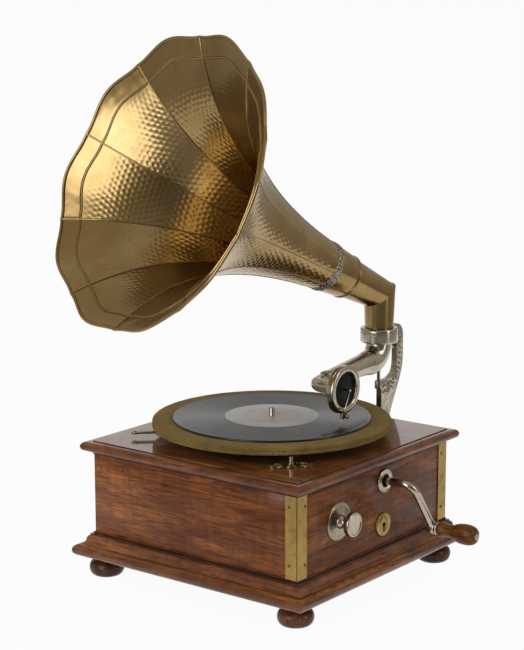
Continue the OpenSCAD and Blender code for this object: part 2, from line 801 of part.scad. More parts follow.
module crank_grip() {
    bore = grip_pin_r + running;
    r = grip_d / 2;
    end = ferrule_len + grip_len;
    from = ferrule_len;
    collar = concat(curve([0.55 * r, from], [0.7 * r, from], [0.78 * r, from + 1.5], [0.78 * r, from + 4], 4),
        curve([0.77 * r, from + 5], [0.68 * r, from + 0.14 * grip_len], [0.6 * r, from + 0.24 * grip_len],
            [0.64 * r, from + 0.34 * grip_len], 5));
    swell = curve([0.66 * r, from + 0.38 * grip_len], [0.8 * r, from + 0.46 * grip_len],
        [r, from + 0.54 * grip_len], [r, from + 0.72 * grip_len], 6);
    crown = curve([r, from + 0.74 * grip_len], [r, from + 0.88 * grip_len], [0.8 * r, end],
        [0.45 * r, end], 7);
    color("#7a3f1c") at_crank() turned_x([grip_from, 0, -crank_throw], concat([[bore, from]],
        collar, swell, crown, [[bore, end]]));
}

module grip_rivet() {
    r = 0.3 * grip_d / 2 + 1.5;
    end = grip_from + ferrule_len + grip_len + pass;
    color(nickel) at_crank() turned_x([end, 0, -crank_throw], concat([[grip_pin_r + seat, 0]],
        arc([r - 2, 0], 2, 0, 90, 4), [[grip_pin_r + seat, 2]]));
}

module governor_shaft() {
    worm_len = 16;
    turn = 90 + 180 / worm_starts - 180 * worm_len / worm_lead;
    color(steel) {
        rod_x([governor_y, worm_z], governor_from, governor_to, governor_r);
        rod_x([governor_y, worm_z], spring_from, spring_from + 5, spring_r);
        translate([-worm_len / 2, governor_y, worm_z]) rotate([0, 90, 0]) rotate([0, 0, turn])
            linear_extrude(worm_len, twist = -360 * worm_len / worm_lead, slices = 10)
                polygon(worm_outline());
    }
}

// Cross-section of the worm: one rounded thread for each start.
function worm_outline() =
    let (step = 360 / worm_starts, root_r = worm_r - 1.3, tip_r = worm_r + 0.7)
    [for (i = [0:worm_starts - 1]) let (a = i * step)
        each [polar(root_r, a - 0.36 * step), polar(worm_r, a - 0.14 * step), polar(tip_r, a),
            polar(worm_r, a + 0.14 * step), polar(root_r, a + 0.36 * step), polar(root_r, a + 0.5 * step)]];

module around_governor() {
    for (turn = [0, 120, 240]) translate([0, governor_y, worm_z]) rotate([turn, 0, 0]) children();
}

module governor_weights() {
    weight_r = 4;
    middle = (spring_from + disc_x) / 2;
    lift = spring_r + spring_t + seat + weight_r;
    color(brass) around_governor() rod_x([0, lift], middle - 6, middle + 6, weight_r);
}

module governor_springs() {
    w = 4;
    color(steel) around_governor() translate([spring_from, -w / 2, spring_r])
        cube([disc_x - spring_from, w, spring_t]);
}

module governor_disc() {
    color(steel) difference() {
        union() {
            rod_x([governor_y, worm_z], disc_x, disc_x + disc_t, disc_r);
            rod_x([governor_y, worm_z], disc_x - 6, disc_x, spring_r);
        }
        rod_x([governor_y, worm_z], disc_x - 7, disc_x + 9, governor_r + seat);
    }
}

module speed_lever() {
    prong = 3;
    color(brass) {
        translate([lever_x, knob_y, lower_z]) cylinder(h = worm_z - lower_z + lever_t, r = lever_pin_r);
        translate([0, 0, worm_z - lever_t / 2]) linear_extrude(lever_t) {
            translate([lever_x, knob_y]) circle(r = 6);
            translate([lever_x, knob_y - 5]) square([cam_x - lever_x + 4, 10]);
            translate([lever_x - 3, knob_y]) square([6, governor_y - knob_y - 8]);
        }
        for (side = [-1, 1])
            translate([cam_x, knob_y + side * (cam_pin_r + cam_play + prong / 2) - prong / 2, worm_z])
                cube([4, prong, knob_z - worm_z]);
    }
}

module lever_pad() {
    from = disc_x + disc_t + pad_gap;
    color(leather) translate([from, governor_y - 14, worm_z - 3]) cube([lever_x - 3 - from, 6, 6]);
}

module speed_knob() {
    r = knob_d / 2;
    edge = 2;
    skirt_r = 8.5;
    inner_end = cam_x + 6 - half;
    stem = [[0, inner_end], [knob_shaft_r, inner_end], [knob_shaft_r, dial_t + 0.3], [skirt_r, dial_t + 0.3],
        [skirt_r, dial_t + 1.5], [5.5, knob_out - 9], [r - edge, knob_out - 8]];
    head = concat(arc([r - edge, knob_out - 8 + edge], edge, -90, 0, 3),
        arc([r - edge, knob_out - edge], edge, 0, 90, 3), [[0, knob_out - edge]]);
    color(nickel) {
        turned_x([half, knob_y, knob_z], concat(stem, head));
        rod_x([knob_y, knob_z - cam_throw], cam_x - 1, cam_x + 6.5, cam_pin_r);
    }
}

// Frame on the pivot's axis, level with the front end of the arm's elbow.
module at_pivot() {
    translate([pivot_x, pivot_y, elbow_z]) rotate([0, 0, arm_yaw]) children();
}

// Frame of the arm's sloping front part, whose axis leaves the middle of the elbow's front end.
module at_arm() {
    at_pivot() translate([0, -elbow_bend_r, 0]) rotate([arm_droop, 0, 0]) translate([0, elbow_bend_r, 0])
        children();
}

// The arm's passage, drawn in by the wall for its inside: neck, elbow and a tapered tube set into the elbow.
module arm_passage(wall, extra) {
    neck_to = collar_step - elbow_z - 0.4;
    inset = 6;
    at_pivot() {
        translate([0, 0, elbow_bend_r]) cylinder(h = neck_to - elbow_bend_r + extra, r = arm_r - wall);
        translate([0, -elbow_bend_r, elbow_bend_r]) rotate([0, 90, 0]) rotate_extrude(angle = 90)
            translate([elbow_bend_r, 0]) circle(r = arm_r - wall);
    }
    at_arm() translate([0, inset - elbow_bend_r, 0]) rotate([90, 0, 0])
        cylinder(h = cone_end - elbow_bend_r + inset, r1 = arm_r - 1 - wall, r2 = arm_tip_d / 2 - wall);
}

module tone_arm() {
    under = sqrt(pow(elbow_bend_r + arm_r, 2) - pow(elbow_bend_r, 2)) - elbow_bend_r;
    pin_from = boss_z - 7 - elbow_z;
    socket = 16;
    color(nickel) {
        difference() {
            union() {
                arm_passage(0, 0);
                at_arm() translate([0, -cone_end + 7, 0]) rotate([90, 0, 0])
                    cylinder(h = 7, r = arm_tip_d / 2 + 1);
            }
            difference() {
                arm_passage(arm_t, 1);
                at_arm() translate([-arm_d, -cone_end - 1, -arm_d]) cube([2 * arm_d, socket + 1, 2 * arm_d]);
            }
            at_arm() translate([0, -cone_end + socket + 1, 0]) rotate([90, 0, 0])
                cylinder(h = socket + 2, r = spigot_r + running);
        }
        at_pivot() translate([0, 0, pin_from]) cylinder(h = 2 - under - pin_from, r = pivot_pin_d / 2);
    }
}

// The crook's passage from its joint with the arm to the back of the sound box.
module crook_passage(r, extra) {
    from = cone_end + 0.4;
    translate([0, -from + extra, 0]) rotate([90, 0, 0])
        cylinder(h = arm_len - crook_bend_r - from + extra, r = r);
    translate([crook_bend_r, -arm_len + crook_bend_r, 0]) rotate([0, 0, 180]) rotate_extrude(angle = 90)
        translate([crook_bend_r, 0]) circle(r = r);
    translate([crook_bend_r, -arm_len, 0]) rotate([0, 90, 0])
        cylinder(h = box_back - crook_bend_r + extra, r = r);
}

module crook() {
    flange = 4.5;
    color(nickel) at_arm() difference() {
        union() {
            crook_passage(crook_d / 2, 0);
            translate([0, -cone_end + 14, 0]) rotate([90, 0, 0]) cylinder(h = 14.5, r = spigot_r);
            translate([box_back - flange, -arm_len, 0]) rotate([0, 90, 0])
                cylinder(h = flange, r = crook_d / 2 + 2);
        }
        crook_passage(spigot_r - 1.2, 16);
    }
}

// Frame of the sound box: Z out of its face, X towards the needle.
module at_box() {
    at_arm() translate([box_front, -arm_len, 0]) rotate([-needle_lean - arm_droop, 0, 0])
        rotate([0, 90, 0]) children();
}

module sound_box() {
    r = box_d / 2;
    hole = spigot_r - 1.2;
    color(nickel) at_box() rotate_extrude() polygon(concat(
        [[hole, -box_t + seat]], [[r - 3, -box_t + seat]], arc([r - 3, -box_t + seat + 3], 3, -90, 0, 4),
        [[r, -4], [r - 2.5, -4], [r - 2.5, -box_t + 4.5], [hole, -box_t + 4.5]]));
}

module box_ring() {
    r = box_d / 2;
    open_r = box_open_d / 2;
    color(nickel) at_box() rotate_extrude() polygon(concat(
        [[open_r, -3.2], [open_r + 1.5, 0], [r - 2, 0]], arc([r - 2, -1.5], 2, 48.59, 0, 3),
        [[r, -4 + seat], [open_r, -4 + seat]]));
}

module diaphragm() {
    r = box_d / 2 - 2.5 - seat;
    color("#141414") at_box() translate([0, 0, -4.5]) cylinder(h = 0.5, r = r);
}

module stylus_bar() {
    bar_from = box_open_d / 2 + 2;
    color("#55504a") at_box() {
        translate([0, 0, -4]) cylinder(h = bar_z + 4, r = 2);
        translate([0, -1.2, bar_z - 1.1]) cube([chuck_to - 4, 2.4, 2.2]);
        translate([bar_from, -5, 0]) cube([6, 10, bar_z + 1]);
        translate([chuck_from, 0, bar_z]) rotate([0, 90, 0])
            cylinder(h = chuck_to - chuck_from, r1 = chuck_r, r2 = 2.6);
    }
}

module needle() {
    shank = 0.75;
    point = 3;
    color(steel) at_box() translate([chuck_to, 0, bar_z]) rotate([0, 90, 0]) {
        cylinder(h = needle_reach - chuck_to - point, r = shank);
        translate([0, 0, needle_reach - chuck_to - point]) cylinder(h = point, r1 = shank, r2 = 0.1);
    }
}

module needle_screw() {
    from = bar_z + chuck_r + 0.1;
    stem_r = 1.2;
    head_r = 3.2;
    color(brass) at_box() translate([(chuck_from + chuck_to) / 2, 0, from]) rotate_extrude()
        polygon([[0, 0], [stem_r, 0], [stem_r, 1.2], [head_r, 1.4], [head_r, 3.6], [head_r - 0.6, 4.2],
            [0, 4.2]]);
}

// Cast bracket: a foot on the back of the case, a ledge with the arm's pivot cup, a spine and the collar.
module horn_bracket() {
    at_boss = boss_z - board_z;
    top = collar_z + collar_h - board_z;
    bore_r = horn_tube_d / 2 + running;
    neck_bore = arm_r + running;
    boss_h = 10;
    edge = 4;
    foot_w = 50;
    foot_y = half + foot_plate_t - pivot_y;
    low = collar_z - board_z;
    spine = 36;
    spine_back = 51;
    groove = 0.7;
    front = concat(curve([foot_y, -28], [-8, -26], [1, -16], [1, 0]), [[1, at_boss]],
        curve([12, at_boss], [28, at_boss], [spine, at_boss + 6], [spine, at_boss + 22]),
        curve([spine, low - 16], [spine, low - 5], [32, low - 1], [collar_r - 2, low - 1]),
        [[collar_r - 2, top - edge]]);
    back = concat(curve([30, top], [42, top + 1], [spine_back, top - 6], [spine_back, top - 18]),
        curve([spine_back, at_boss + 24], [spine_back, at_boss + 4], [34, 22], [24, 0]),
        curve([20, -10], [16, -40], [2, -62], [foot_y, -70]));
    collar = concat([[0, 0]], arc([collar_r - edge, edge], edge, -90, 0, 4),
        [[collar_r, 13], [collar_r - groove, 13.4], [collar_r - groove, 14.2], [collar_r, 14.6]],
        arc([collar_r - edge, collar_h - edge], edge, 0, 90, 4), [[0, collar_h]]);
    color(nickel) translate([pivot_x, pivot_y, 0]) difference() {
        union() {
            translate([-bracket_t / 2, 0, board_z]) rotate([90, 0, 90])
                linear_extrude(bracket_t) polygon(concat(front, back));
            translate([0, 0, collar_z]) rotate_extrude() polygon(collar);
            translate([0, 0, boss_z - boss_h]) cylinder(h = boss_h, r = 5.2);
            translate([-foot_w / 2, half - pivot_y, board_z - 78]) cube([foot_w, foot_plate_t, 56]);
        }
        translate([0, 0, collar_z - 1]) cylinder(h = collar_h + 2, r = neck_bore);
        translate([0, 0, collar_step]) cylinder(h = collar_h, r = bore_r);
        translate([0, 0, boss_z - boss_h + 3]) cylinder(h = 20, r = pivot_pin_d / 2 + running);
    }
}

module at_horn() {
    translate([pivot_x, pivot_y, horn_z]) rotate([0, 0, -90 - horn_turn]) rotate([0, 90 - horn_rise, 0])
        children();
}

// Half of space on one side of the elbow's mitre plane.
module mitre_half(side) {
    translate([pivot_x, pivot_y, horn_z]) rotate([0, 0, -90 - horn_turn]) rotate([0, (90 - horn_rise) / 2, 0])
        translate([-200, -200, side > 0 ? 0 : -400]) cube(400);
}

// The horn's elbow, drawn in by the wall for its inside: a spigot, an upright tube and a mitred cone.
module elbow_solid(wall, extra) {
    spigot_top = collar_z + collar_h + 1;
    over = 60;
    taper = (elbow_end_r - elbow_r) / ring_s;
    translate([pivot_x, pivot_y, collar_step + seat - extra])
        cylinder(h = spigot_top - collar_step - seat + extra, r = horn_tube_d / 2 - wall);
    intersection() {
        translate([pivot_x, pivot_y, spigot_top])
            cylinder(h = horn_z - spigot_top + over, r1 = horn_tube_d / 2 - wall, r2 = elbow_r + 2 - wall);
        mitre_half(-1);
    }
    intersection() {
        at_horn() translate([0, 0, -over]) cylinder(h = over + ring_s + extra,
            r1 = elbow_r - taper * over - wall, r2 = elbow_end_r + taper * extra - wall);
        mitre_half(1);
    }
}

module horn_elbow() {
    color(brass) difference() {
        elbow_solid(0, 0);
        elbow_solid(tube_t, 1);
    }
}

// Sleeve between the elbow and the petals, with the ring that covers its joint.
module horn_neck() {
    sleeve = 6;
    taper = (elbow_end_r - elbow_r) / ring_s;
    low_r = elbow_end_r - taper * sleeve + seat;
    wall = sheet_t + 0.4;
    ring = ring_s - sleeve;
    color(brass) at_horn() rotate_extrude() polygon([[low_r, ring], [low_r + wall, ring],
        [low_r + wall + 0.2, ring + 1.6], [low_r + 2.7, ring + 2.1], [low_r + 3, ring + 3.3],
        [low_r + 2.8, ring + 4.5], [low_r + wall + 0.6, ring + 5], [neck_r + wall, petal_start],
        [neck_r, petal_start]]);
}

// Radius of the horn at a distance along its axis.
function horn_r(s) = neck_r * exp(flare_rate * (s - petal_start) + flare_gain * pow(s - petal_start, 2));

// Slope of the horn's side at a distance along its axis.
function horn_slope(s) = horn_r(s) * (flare_rate + 2 * flare_gain * (s - petal_start));

// Share of the flare that is done at a distance along the axis, from 0 at the neck to 1 at the mouth.
function flare_share(s) = pow((s - petal_start) / (horn_len - petal_start), 2);

// A point of petal k at a share t across it, lifted off the sheet's inner face by an offset.
function horn_point(k, t, s, off) =
    let (turn = seam_phase + (k + t) * petal_angle, slope = horn_slope(s), n = sqrt(1 + slope * slope),
        share = flare_share(s), flat = petal_flat * (1 - exp((petal_start - s) / flat_over)),
        panel = 1 - flat * (1 - cos(petal_angle / 2) / cos(petal_angle * (t - 0.5))),
        r = horn_r(s) * panel * (1 + flute * pow(sin(180 * t), 2) * share) + off / n,
        lean = share * (mouth_lean_side * sin(turn) - mouth_lean_top * cos(turn)))
    [r * cos(turn), r * sin(turn), s + lean - off * slope / n];

// Distance along the axis to the rim at a share t across a petal.
function rim_s(t) = horn_len + lobe * pow(sin(180 * t), 2);

// A closed sheet between an inner and an outer grid of points.
module sheet(inside, outside) {
    rows = len(inside);
    cols = len(inside[0]);
    function at(side, i, j) = side * rows * cols + i * cols + j;
    function quad(a, b, c, d) = [[a, b, c], [a, c, d]];
    walls = [for (i = [0:rows - 2], j = [0:cols - 2]) each concat(
        quad(at(1, i, j), at(1, i + 1, j), at(1, i + 1, j + 1), at(1, i, j + 1)),
        quad(at(0, i, j), at(0, i, j + 1), at(0, i + 1, j + 1), at(0, i + 1, j)))];
    ends = [for (j = [0:cols - 2]) each concat(
        quad(at(0, 0, j), at(1, 0, j), at(1, 0, j + 1), at(0, 0, j + 1)),
        quad(at(0, rows - 1, j), at(0, rows - 1, j + 1), at(1, rows - 1, j + 1), at(1, rows - 1, j)))];
    sides = [for (i = [0:rows - 2]) each concat(
        quad(at(0, i, 0), at(0, i + 1, 0), at(1, i + 1, 0), at(1, i, 0)),
        quad(at(0, i, cols - 1), at(1, i, cols - 1), at(1, i + 1, cols - 1), at(0, i + 1, cols - 1)))];
    points = [for (grid = [inside, outside], row = grid) each row];
    polyhedron(points = points, faces = concat(walls, ends, sides));
}

// Shares across a petal of this width at which its sheet is drawn: the two seams, their feet and the field.
function across(width) =
    let (edge = seam_w / width, gap = seat / width)
    [gap, edge, 1.5 * edge, 0.27, 0.5, 0.73, 1 - 1.5 * edge, 1 - edge, 1 - gap];

// Width of a petal at a distance along the axis.
function petal_width(s) = 2 * PI * horn_r(s) / petals;

// One petal: a flared sheet whose two edges are turned up into the standing seams.
module petal(k) {
    rows = 11;
    from = petal_start + seat + (sheet_t + seam_h) * horn_slope(petal_start);
    shares = [for (i = [0:rows]) 1 - pow(1 - i / rows, 1.5)];
    lift = [1, 1, 0, 0, 0, 0, 0, 1, 1];
    function along(f, t) = from + f * (rim_s(t) - bead_back - from);
    function grid(low, high) = [for (f = shares) let (ts = across(petal_width(along(f, 0.5))))
        [for (j = [0:len(ts) - 1]) horn_point(k, ts[j], along(f, ts[j]), lift[j] > 0 ? high : low)]];
    sheet(grid(0, -0.7 * seam_h), grid(sheet_t, sheet_t + seam_h));
}

module horn_petals() {
    color(brass) at_horn() for (k = [0:petals - 1]) petal(k);
}

// One length of the plain band between the petals' bead line and the rolled rim.
module band_length(k) {
    bead = 0.16;
    shares = [0, bead, bead + 0.04, 0.6, 1];
    bead_h = [seam_h, seam_h, 0, 0, 0];
    ts = across(petal_width(rim_s(0.5) - bead_back));
    run = bead_back - 2 * seat - rim_r / 1.6;
    function along(f, t) = rim_s(t) - bead_back + 2 * seat + f * run;
    function grid(off, rise) = [for (i = [0:len(shares) - 1])
        [for (t = ts) horn_point(k, t, along(shares[i], t), off - rise * bead_h[i])]];
    sheet(grid(0, 1), grid(sheet_t, 0));
}

module horn_band() {
    color(brass) at_horn() for (k = [0:petals - 1]) band_length(k);
}

// Rolled rim: a round bead that follows the lobed edge.
module horn_rim() {
    steps = 6;
    sides = 6;
    count = petals * steps;
    function ring(i) =
        let (k = floor(i / steps), t = i / steps - k, turn = seam_phase + (k + t) * petal_angle,
            c = horn_point(k, t, rim_s(t), sheet_t / 2))
        [for (a = [0:sides - 1]) let (b = a * 360 / sides)
            c + rim_r * [cos(b) * cos(turn), cos(b) * sin(turn), sin(b)]];
    function at(i, a) = (i % count) * sides + a % sides;
    color(brass) at_horn() polyhedron(points = [for (i = [0:count - 1]) each ring(i)],
        faces = [for (i = [0:count - 1], a = [0:sides - 1])
            each [[at(i, a), at(i, a + 1), at(i + 1, a + 1)], [at(i, a), at(i + 1, a + 1), at(i + 1, a)]]]);
}

feet();
base_moulding();
bottom_board();
front_panel();
back_panel();
left_panel();
right_panel();
top_board();
corner_strips();
crank_bush();
keyhole_plate();
dial_plate();
horn_bracket();
motor_upper_plate();
motor_lower_plate();
motor_pillars();
motor_bearings();
brake_pivot();
brake_lever();
brake_pad();
stop_plate();
spindle();
worm_wheel();
platter();
felt();
record();
record_label();
intermediate_arbor();
intermediate_wheel();
great_wheel();
spring_barrel();
barrel_cover();
mainspring();
barrel_arbor();
bevel_wheel();
winding_shaft();
crank_arm();
crank_grip();
grip_ferrule();
grip_rivet();
governor_shaft();
governor_weights();
governor_springs();
governor_disc();
speed_lever();
lever_pad();
speed_knob();
tone_arm();
crook();
sound_box();
box_ring();
diaphragm();
stylus_bar();
needle();
needle_screw();
horn_elbow();
horn_neck();
horn_petals();
horn_band();
horn_rim();
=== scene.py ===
"""Looks of a table gramophone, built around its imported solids.
"""

import json
import math

import bmesh
import bpy
from mathutils import Matrix, Vector, noise


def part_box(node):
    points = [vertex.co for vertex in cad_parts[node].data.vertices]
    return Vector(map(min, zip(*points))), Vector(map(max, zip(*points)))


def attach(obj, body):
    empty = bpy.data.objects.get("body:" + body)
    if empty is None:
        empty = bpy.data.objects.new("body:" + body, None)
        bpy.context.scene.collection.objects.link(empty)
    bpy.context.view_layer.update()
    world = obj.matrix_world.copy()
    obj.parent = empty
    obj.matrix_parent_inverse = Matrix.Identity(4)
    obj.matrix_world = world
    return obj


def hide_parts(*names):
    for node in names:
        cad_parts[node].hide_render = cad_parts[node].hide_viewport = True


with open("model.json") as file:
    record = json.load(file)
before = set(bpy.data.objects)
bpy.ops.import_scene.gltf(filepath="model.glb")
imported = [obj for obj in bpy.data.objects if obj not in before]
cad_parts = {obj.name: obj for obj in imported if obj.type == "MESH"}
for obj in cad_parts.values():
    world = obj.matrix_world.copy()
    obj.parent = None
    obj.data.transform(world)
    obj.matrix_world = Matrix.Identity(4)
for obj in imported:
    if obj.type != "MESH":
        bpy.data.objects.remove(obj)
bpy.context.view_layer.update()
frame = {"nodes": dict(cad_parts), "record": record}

MM = 0.001
MERGE = 0.003    # points closer than this are one
SHARP = 32    # degrees from which an edge counts as sharp
Z = Vector((0, 0, 1))


# ---------------------------------------------------------------- finishes

class Finish:
    """A material being put together from nodes. Its methods give back sockets."""

    def __init__(self, name, **constants):
        self.material = bpy.data.materials.new(name)
        self.material.use_nodes = True
        self.tree = self.material.node_tree
        self.shader = self.tree.nodes["Principled BSDF"]
        self.place = self.node("TexCoord").outputs["Object"]
        self.give(**constants)

    def node(self, kind, inputs=None, **settings):
        made = self.tree.nodes.new("ShaderNode" + kind)
        for key, value in settings.items():
            setattr(made, key, value)
        for key, value in (inputs or {}).items():
            self.feed(made.inputs[key], value)
        return made

    def feed(self, socket, value):
        if isinstance(value, bpy.types.NodeSocket):
            self.tree.links.new(value, socket)
        else:
            socket.default_value = value

    def give(self, **values):
        """Sets or links the shader's own sockets: Base_Color stands for Base Color."""
        for key, value in values.items():
            if isinstance(value, tuple):
                value = (*value, 1.0)
            self.feed(self.shader.inputs[key.replace("_", " ")], value)

    def laid(self, stretch=(1, 1, 1), turn=(0, 0, 0), shift=(0, 0, 0)):
        """Object coordinates, turned and then stretched."""
        turned = self.node("Mapping", {"Vector": self.place, "Rotation": turn, "Location": shift})
        return self.node("Mapping", {"Vector": turned.outputs[0], "Scale": stretch}).outputs[0]

    def noise(self, scale, detail=4, roughness=0.5, distortion=0, at=None):
        return self.node("TexNoise", {"Vector": at or self.place, "Scale": scale, "Detail": detail,
                                      "Roughness": roughness, "Distortion": distortion}).outputs[0]

    def cells(self, scale):
        return self.node("TexVoronoi", {"Vector": self.place, "Scale": scale}, feature="F1").outputs["Distance"]

    def rings(self, scale):
        """Rings about Z."""
        return self.node("TexWave", {"Vector": self.place, "Scale": scale, "Distortion": 0},
                         wave_type="RINGS", rings_direction="Z").outputs[1]

    def ramp(self, value, *stops):
        made = self.node("ValToRGB", {"Fac": value})
        while len(made.color_ramp.elements) < len(stops):
            made.color_ramp.elements.new(0.5)
        for element, (where, shade) in zip(made.color_ramp.elements, stops):
            element.position = where
            element.color = (*shade, 1) if isinstance(shade, tuple) else (shade, shade, shade, 1)
        return made.outputs[0]

    def mix(self, share, first, second, blend="MIX"):
        made = self.node("Mix", data_type="RGBA", blend_type=blend)
        for index, value in ((0, share), (6, first), (7, second)):
            self.feed(made.inputs[index], (*value, 1) if isinstance(value, tuple) else value)
        return made.outputs[2]

    def sum(self, operation, first, second):
        made = self.node("Math", operation=operation)
        self.feed(made.inputs[0], first)
        self.feed(made.inputs[1], second)
        return made.outputs[0]

    def span(self, value, low, high):
        """A 0 to 1 value spread between low and high."""
        return self.node("MapRange", {"Value": value, "To Min": low, "To Max": high}).outputs[0]

    def bump(self, height, depth, strength=1.0, over=None):
        """Relief of that depth in millimetres."""
        made = self.node("Bump", {"Height": height, "Strength": strength, "Distance": depth * MM})
        if over:
            self.feed(made.inputs["Normal"], over)
        return made.outputs[0]


def polished_wood(name, turn, dark, middle, light, wear=0.5, coat=0.2):
    """Varnished wood with its grain along X, turned by turn."""
    wood = Finish(name, Coat_Weight=coat, Coat_Roughness=0.07, Specular_IOR_Level=0.12)
    figure = wood.noise(5.5, 6, 0.62, 1.4, wood.laid((0.9, 5, 5), turn))
    streaks = wood.noise(46, 8, 0.72, 0.5, wood.laid((0.35, 7, 7), turn, (3, 1, 2)))
    pores = wood.noise(150, 2, 0.5, 0, wood.laid((0.26, 6, 6), turn))
    flecks = wood.noise(90, 4, 0.6, 0, wood.laid((1.2, 1.2, 0.35), shift=(1, 5, 3)))
    blotches = wood.noise(9, 5, 0.6)
    rubbed = wood.noise(17, 8, 0.7, 0.6, wood.laid((0.6, 1, 1), turn, (7, 2, 5)))
    colour = wood.ramp(figure, (0.3, dark), (0.49, middle), (0.7, light))
    for share, pattern, *stops in (
            (0.9, streaks, (0.32, (0.42, 0.37, 0.34)), (0.54, (1, 1, 1)), (0.8, (1.4, 1.36, 1.3))),
            (0.6, blotches, (0.34, (0.55, 0.5, 0.48)), (0.6, (1.15, 1.12, 1.1))),
            (0.5, flecks, (0.35, (0.62, 0.58, 0.56)), (0.65, (1.2, 1.18, 1.15)))):
        colour = wood.mix(share, colour, wood.ramp(pattern, *stops), "MULTIPLY")
    dashes = wood.ramp(pores, (0.58, 0.0), (0.66, 0.85))
    colour = wood.mix(dashes, colour, tuple(0.35 * part for part in dark))
    paler = tuple(1.2 * part + 0.02 for part in light)
    colour = wood.mix(wood.ramp(rubbed, (0.64, 0.0), (0.82, wear)), colour, paler)
    relief = wood.bump(dashes, -0.08, 0.7)
    wood.give(Base_Color=colour, Roughness=wood.span(rubbed, 0.2, 0.46),
              Normal=wood.bump(streaks, 0.05, 0.5, relief))
    return wood.material


def old_metal(name, clean, tarnish, spots, rough, patch=16, cover=(0.42, 0.62), grimy=0.55):
    """Worn metal: patches of tarnish, fine dark spots and hairline scratches."""
    metal = Finish(name, Metallic=1.0)
    patches = metal.noise(patch, 8, 0.62, 0.5)
    grime = metal.noise(patch * 6, 6, 0.6)
    scratches = metal.noise(240, 3, 0.6, 0, metal.laid((1, 0.06, 0.3), (0.5, 0.3, 0.7)))
    pits = metal.cells(330)
    colour = metal.ramp(patches, (cover[0], clean), (cover[1], tarnish))
    colour = metal.mix(metal.ramp(grime, (0.5, 0.0), (0.75, grimy)), colour, spots)
    colour = metal.mix(metal.ramp(pits, (0.04, 0.6), (0.14, 0.0)), colour, spots)
    relief = metal.bump(scratches, 0.012, 0.5)
    metal.give(Base_Color=colour, Roughness=metal.span(grime, *rough), Normal=metal.bump(pits, 0.01, 0.3, relief))
    return metal.material


def horn_metal(name, darker=1.0):
    """Tarnished sheet brass with brown bloom, clouds and fine stains."""
    metal = Finish(name, Metallic=1.0)
    bloom = metal.noise(6, 7, 0.6, 0.7)
    cloud = metal.noise(30, 6, 0.65, 0.3)
    stain = metal.noise(130, 4, 0.6)
    colour = metal.ramp(bloom, (0.34, (0.43, 0.308, 0.15)), (0.55, (0.335, 0.224, 0.089)),
                        (0.75, (0.275, 0.172, 0.062)))
    colour = metal.mix(metal.ramp(cloud, (0.5, 0.0), (0.8, 0.45)), colour, (0.21, 0.128, 0.046))
    colour = metal.mix(metal.ramp(stain, (0.62, 0.0), (0.82, 0.5)), colour, (0.13, 0.076, 0.028))
    colour = metal.mix(1.0, colour, (darker, darker ** 1.15, darker ** 1.5), "MULTIPLY")
    metal.give(Base_Color=colour, Roughness=metal.span(cloud, 0.13, 0.27),
               Normal=metal.bump(metal.noise(420, 3, 0.6), 0.01, 0.5))
    return metal.material


def felt_cloth():
    """Worn brown felt: paler fibres and dark specks over broad patches."""
    felt = Finish("felt", Roughness=0.95, Sheen_Weight=0.25, Sheen_Roughness=0.5, Sheen_Tint=(0.6, 0.48, 0.2),
                  Specular_IOR_Level=0.2)
    fibres = felt.noise(520, 6, 0.75, 1.5)
    patches = felt.noise(22, 6, 0.65)
    colour = felt.ramp(patches, (0.35, (0.10, 0.062, 0.016)), (0.65, (0.2, 0.127, 0.035)))
    colour = felt.mix(felt.ramp(fibres, (0.42, 0.0), (0.72, 0.75)), colour, (0.32, 0.215, 0.068))
    colour = felt.mix(felt.ramp(felt.noise(260, 3, 0.6), (0.58, 0.0), (0.74, 0.8)), colour, (0.035, 0.023, 0.007))
    felt.give(Base_Color=colour, Normal=felt.bump(fibres, 0.5, 0.8))
    return felt.material


def pressed_shellac():
    """Black record: fine rings that stretch its gloss, a thin clear polish and a little dust."""
    disc = Finish("record_shellac", Specular_IOR_Level=0.25, Anisotropic=0.85, Anisotropic_Rotation=0.25,
                  Coat_Weight=0.25, Coat_Roughness=0.07)
    rings = disc.rings(900)
    dust = disc.noise(420, 4, 0.7)
    bands = disc.noise(60, 2, 0.5, 0, disc.laid((1, 1, 0)))
    colour = disc.ramp(dust, (0.5, (0.010, 0.010, 0.010)), (0.85, (0.035, 0.034, 0.032)))
    disc.give(Base_Color=colour, Roughness=disc.span(bands, 0.33, 0.42), Normal=disc.bump(rings, 0.02, 0.35),
              Tangent=disc.node("Tangent", direction_type="RADIAL", axis="Z").outputs[0])
    return disc.material


def label_card():
    """Faded paper: a pinkish middle inside a darker ring."""
    card = Finish("label_card", Roughness=0.55, Specular_IOR_Level=0.3, Coat_Weight=0.35, Coat_Roughness=0.1)
    fibres = card.noise(700, 5, 0.7)
    spread = card.node("VectorMath", {0: card.laid((1, 1, 0))}, operation="LENGTH").outputs["Value"]
    zones = card.ramp(card.sum("MULTIPLY", spread, 10), (0.0, (0.47, 0.425, 0.405)), (0.32, (0.49, 0.43, 0.41)),
                      (0.345, (0.34, 0.33, 0.32)), (0.36, (0.49, 0.485, 0.47)), (0.56, (0.475, 0.47, 0.46)))
    colour = card.mix(card.ramp(card.noise(45, 6, 0.7), (0.5, 0.0), (0.75, 0.4)), zones, (0.36, 0.345, 0.33))
    card.give(Base_Color=colour, Normal=card.bump(fibres, 0.03, 0.5))
    return card.material


def worn_leather():
    """Brown leather with a fine grain."""
    hide = Finish("leather", Roughness=0.62)
    grain = hide.cells(900)
    tone = hide.noise(140, 5, 0.6)
    hide.give(Base_Color=hide.ramp(tone, (0.3, (0.07, 0.035, 0.016)), (0.7, (0.19, 0.10, 0.05))),
              Normal=hide.bump(grain, 0.12, 0.8))
    return hide.material


